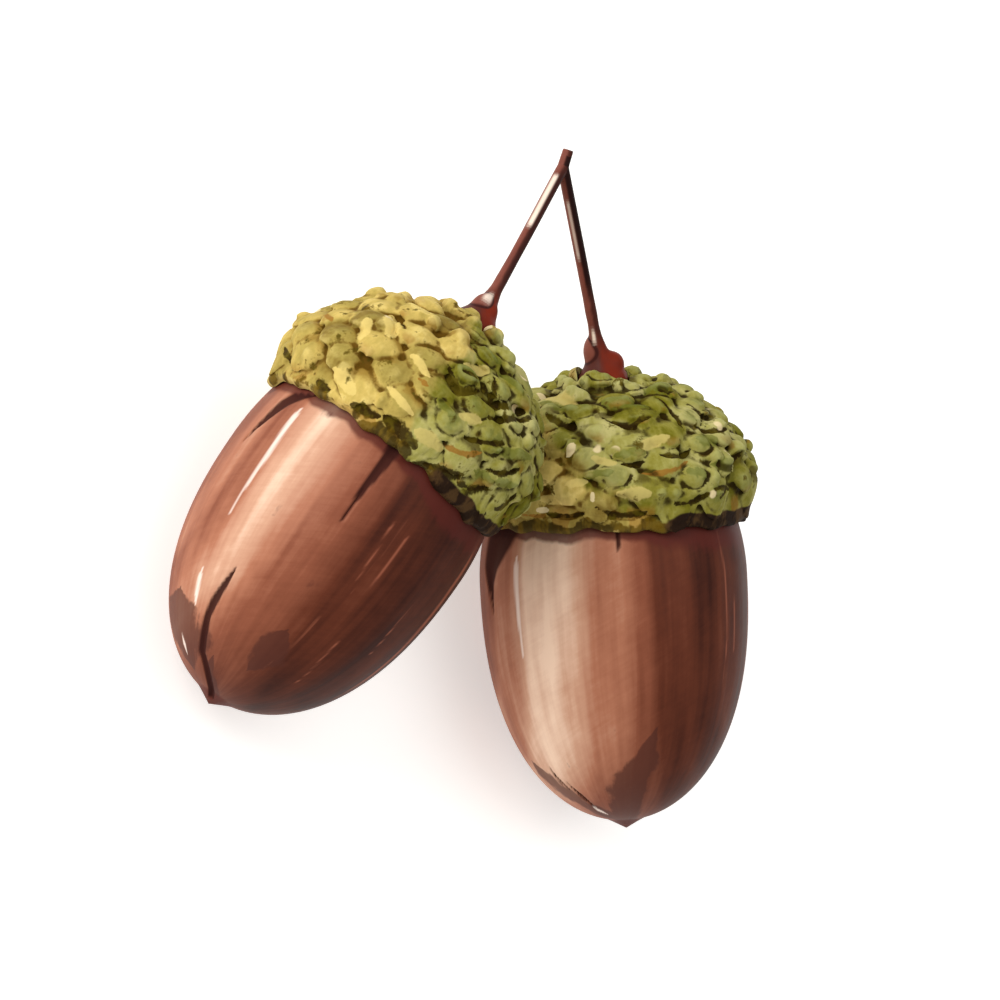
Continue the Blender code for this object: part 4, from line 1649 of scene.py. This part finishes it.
def note_stalk(obj):
    points = read_points(obj)
    sides = np.array([side for side, arm in arms.items() for _ in arm])
    centres = np.array([place for arm in arms.values() for place, _ in arm])
    shares = np.concatenate([np.arange(len(arm)) / ARM_POINTS for arm in arms.values()])
    runs = [np.gradient(np.array([place for place, _ in arm]), axis=0) for arm in arms.values()]
    runs = np.concatenate(runs)
    runs /= np.linalg.norm(runs, axis=1)[:, None]
    feet = [np.array(arms[side][0][0]) for side in ("left", "right")]
    sideways = feet[1] - feet[0] - runs * (runs @ (feet[1] - feet[0]))[:, None]
    sideways /= np.linalg.norm(sideways, axis=1)[:, None]
    nearest = np.empty(len(points), int)
    for start in range(0, len(points), POINTS_AT_ONCE):
        part = slice(start, start + POINTS_AT_ONCE)
        nearest[part] = ((points[part, None] - centres[None]) ** 2).sum(2).argmin(1)
    away = points - centres[nearest]
    right = (away * sideways[nearest]).sum(1)
    out = (away * np.cross(sideways, runs)[nearest]).sum(1)
    turn = np.arctan2(right, out) + PAINT_TURN
    right, out = np.sin(turn), np.cos(turn)
    share = shares[nearest]
    # shine gathers the painted highlights and dark the painted shade of each arm.
    shine, dark = np.zeros(len(points)), np.zeros(len(points))
    for side in arms:
        here = sides[nearest] == side
        for low, high, middle, half, strength in SHINES[side]:
            streak = np.exp(-(((right - middle) / half) ** 4))
            streak *= window(low, high, SHINE_SOFT, share) * (out > 0)
            shine = np.maximum(shine, here * strength * streak)
        low, high, strength = DARK_SIDES[side]
        shadow = window(low, high, DARK_SOFT, share) * smooth_step(*DARK_FROM, right)
        dark = np.maximum(dark, here * strength * shadow)
    foot = 1 - smooth_step(*FOOT_SHARE, share)
    note(obj, rightwards=right, foot=foot, shine=shine, dark=dark, knuckle=knuckle_share(points))
    print(obj.name, "has", int((foot > 0.5).sum()), "of", len(points), "points on its feet")


note_stalk(stalk)

# %% The stalk's material
def stalk_material(name):
    material, network, shader = new_material(name)
    place = make(network, "ShaderNodeTexCoord", output="Object")
    line = texture_noise(network, scaled(network, place, (1, 0.16, 0.5)), 2600.0, 3.0)
    patch = texture_noise(network, place, 500.0, 2.0)
    # On the bark the darker side is painted shade; on the feet the same sides give mauve and brick
    # red.
    side = (noted(network, "rightwards") + (line - 0.5) * 0.7).step(-0.35, 0.35)
    bark = blend(network, side, (126, 70, 58), (76, 36, 28))
    foot = blend(network, side, (86, 42, 34), (122, 38, 18))
    knuckle = noted(network, "knuckle") + (patch - 0.5) * 0.12
    shine = noted(network, "shine") * (0.8 + line * 0.3)
    colour = painted(
        network,
        bark,
        (noted(network, "foot"), foot),
        ((patch - 0.4) * 0.7, (62, 30, 26)),
        (knuckle.step(0.27, 0.32), (62, 26, 22)),
        (knuckle.step(0.35, 0.4), (128, 72, 60)),
        # Painted shade, near black, on the dark side of the arms, and the painted highlights of the
        # shines above it.
        (noted(network, "dark") * 0.92, (32, 11, 9)),
        (shine.clamp(), (246, 226, 208)),
    )
    feed(network, shader.inputs["Base Color"], colour)
    feed(network, shader.inputs["Roughness"], 0.36 + line * 0.2)
    shader.inputs["Specular IOR Level"].default_value = 0.08
    shader.inputs["Coat Weight"].default_value = 0.01
    shader.inputs["Coat Roughness"].default_value = 0.2
    feed(network, shader.inputs["Normal"], bumped(network, line, 0.05 * MM, 0.7))
    return material


stalk_bark = stalk_material("stalk bark")
print("stalk bark:", len(stalk_bark.node_tree.nodes), "nodes")

# %% [markdown]
# Finishing the pieces.
# Each piece gets its material and smooth shading, which leaves only folds sharper than SHARP_FOLD
# as edges. Nothing moves, so every piece rides on the one body, and each stands for the CAD node
# of the same kind. The scale that was copied has done its work and goes.

# %% Finish each piece: material, smooth shading, its body and its node
SHARP_FOLD = math.radians(60)

pieces = [(nuts[side], nut_shell, f"nut_{side}") for side in ("left", "right")]
pieces += [(cups[side], cup_crust, f"cup_{side}") for side in ("left", "right")]
pieces += [(stalk, stalk_bark, "stalk")]
for piece, material, node in pieces:
    piece.data.materials.clear()
    piece.data.materials.append(material)
    only(piece)
    bpy.ops.object.shade_smooth_by_angle(angle=SHARP_FOLD)
    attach(piece, "root")
    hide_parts(node)
    print(piece.name, "stands for", node, "in", material.name)
bpy.data.objects.remove(one_scale, do_unlink=True)

# %% [markdown]
# The studio.
# A pale floor, a wide soft light from the picture's left, a weaker one from above and a pale sky.
# The floor glows a little by itself, as a light table does, which keeps the ground near white and
# sends light up under the nuts.

# %% Floor, lights and sky
FLOOR_SIZE = 4
FLOOR_GLOW = 0.5
SKY_GLOW = 0.46


def add_floor():
    bpy.ops.object.select_all(action="DESELECT")
    bpy.ops.mesh.primitive_plane_add(size=FLOOR_SIZE, location=(0, 0, 0))
    floor = bpy.context.object
    floor.name = "floor"
    material, network, shader = new_material("pale floor")
    place = make(network, "ShaderNodeTexCoord", output="Object")
    grain = texture_noise(network, place, 60.0)
    colour = blend(network, grain, (244, 243, 240), (250, 249, 247))
    feed(network, shader.inputs["Base Color"], colour)
    shader.inputs["Roughness"].default_value = 0.9
    shader.inputs["Emission Color"].default_value = (1, 0.99, 0.97, 1)
    shader.inputs["Emission Strength"].default_value = FLOOR_GLOW
    floor.data.materials.append(material)
    floor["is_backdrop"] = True
    return floor


def add_area(name, towards, distance, size, power, tint=(1, 1, 1)):
    """A soft square light that shines on the object from the given direction."""
    light = bpy.data.objects.new(name, bpy.data.lights.new(name, "AREA"))
    bpy.context.scene.collection.objects.link(light)
    direction = Vector(towards).normalized()
    light.location = AIM + direction * distance
    light.rotation_mode = "QUATERNION"
    light.rotation_quaternion = direction.to_track_quat("Z", "Y")
    light.data.shape = "SQUARE"
    light.data.size = size
    light.data.energy = power
    light.data.color = tint
    return light


floor = add_floor()
key = add_area("key", (-0.94, 0.25, 0.5), distance=0.5, size=0.28, power=1.6, tint=(1, 0.98, 0.95))
top = add_area("top", (0.1, 0.2, 1), distance=0.6, size=0.5, power=1.0)
sky = bpy.data.worlds.new("sky")
bpy.context.scene.world = sky
sky.use_nodes = True
backdrop = sky.node_tree.nodes["Background"]
backdrop.inputs["Color"].default_value = (1, 1, 1, 1)
backdrop.inputs["Strength"].default_value = SKY_GLOW
bpy.context.scene.view_settings.view_transform = "Standard"
print("the", floor.name, "is lit by the", key.name, "and", top.name, "lights and the", sky.name)

# %% Print the sizes, and finish
low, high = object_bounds()
print("visual box in mm:", [[round(value / MM, 2) for value in corner] for corner in (low, high)])
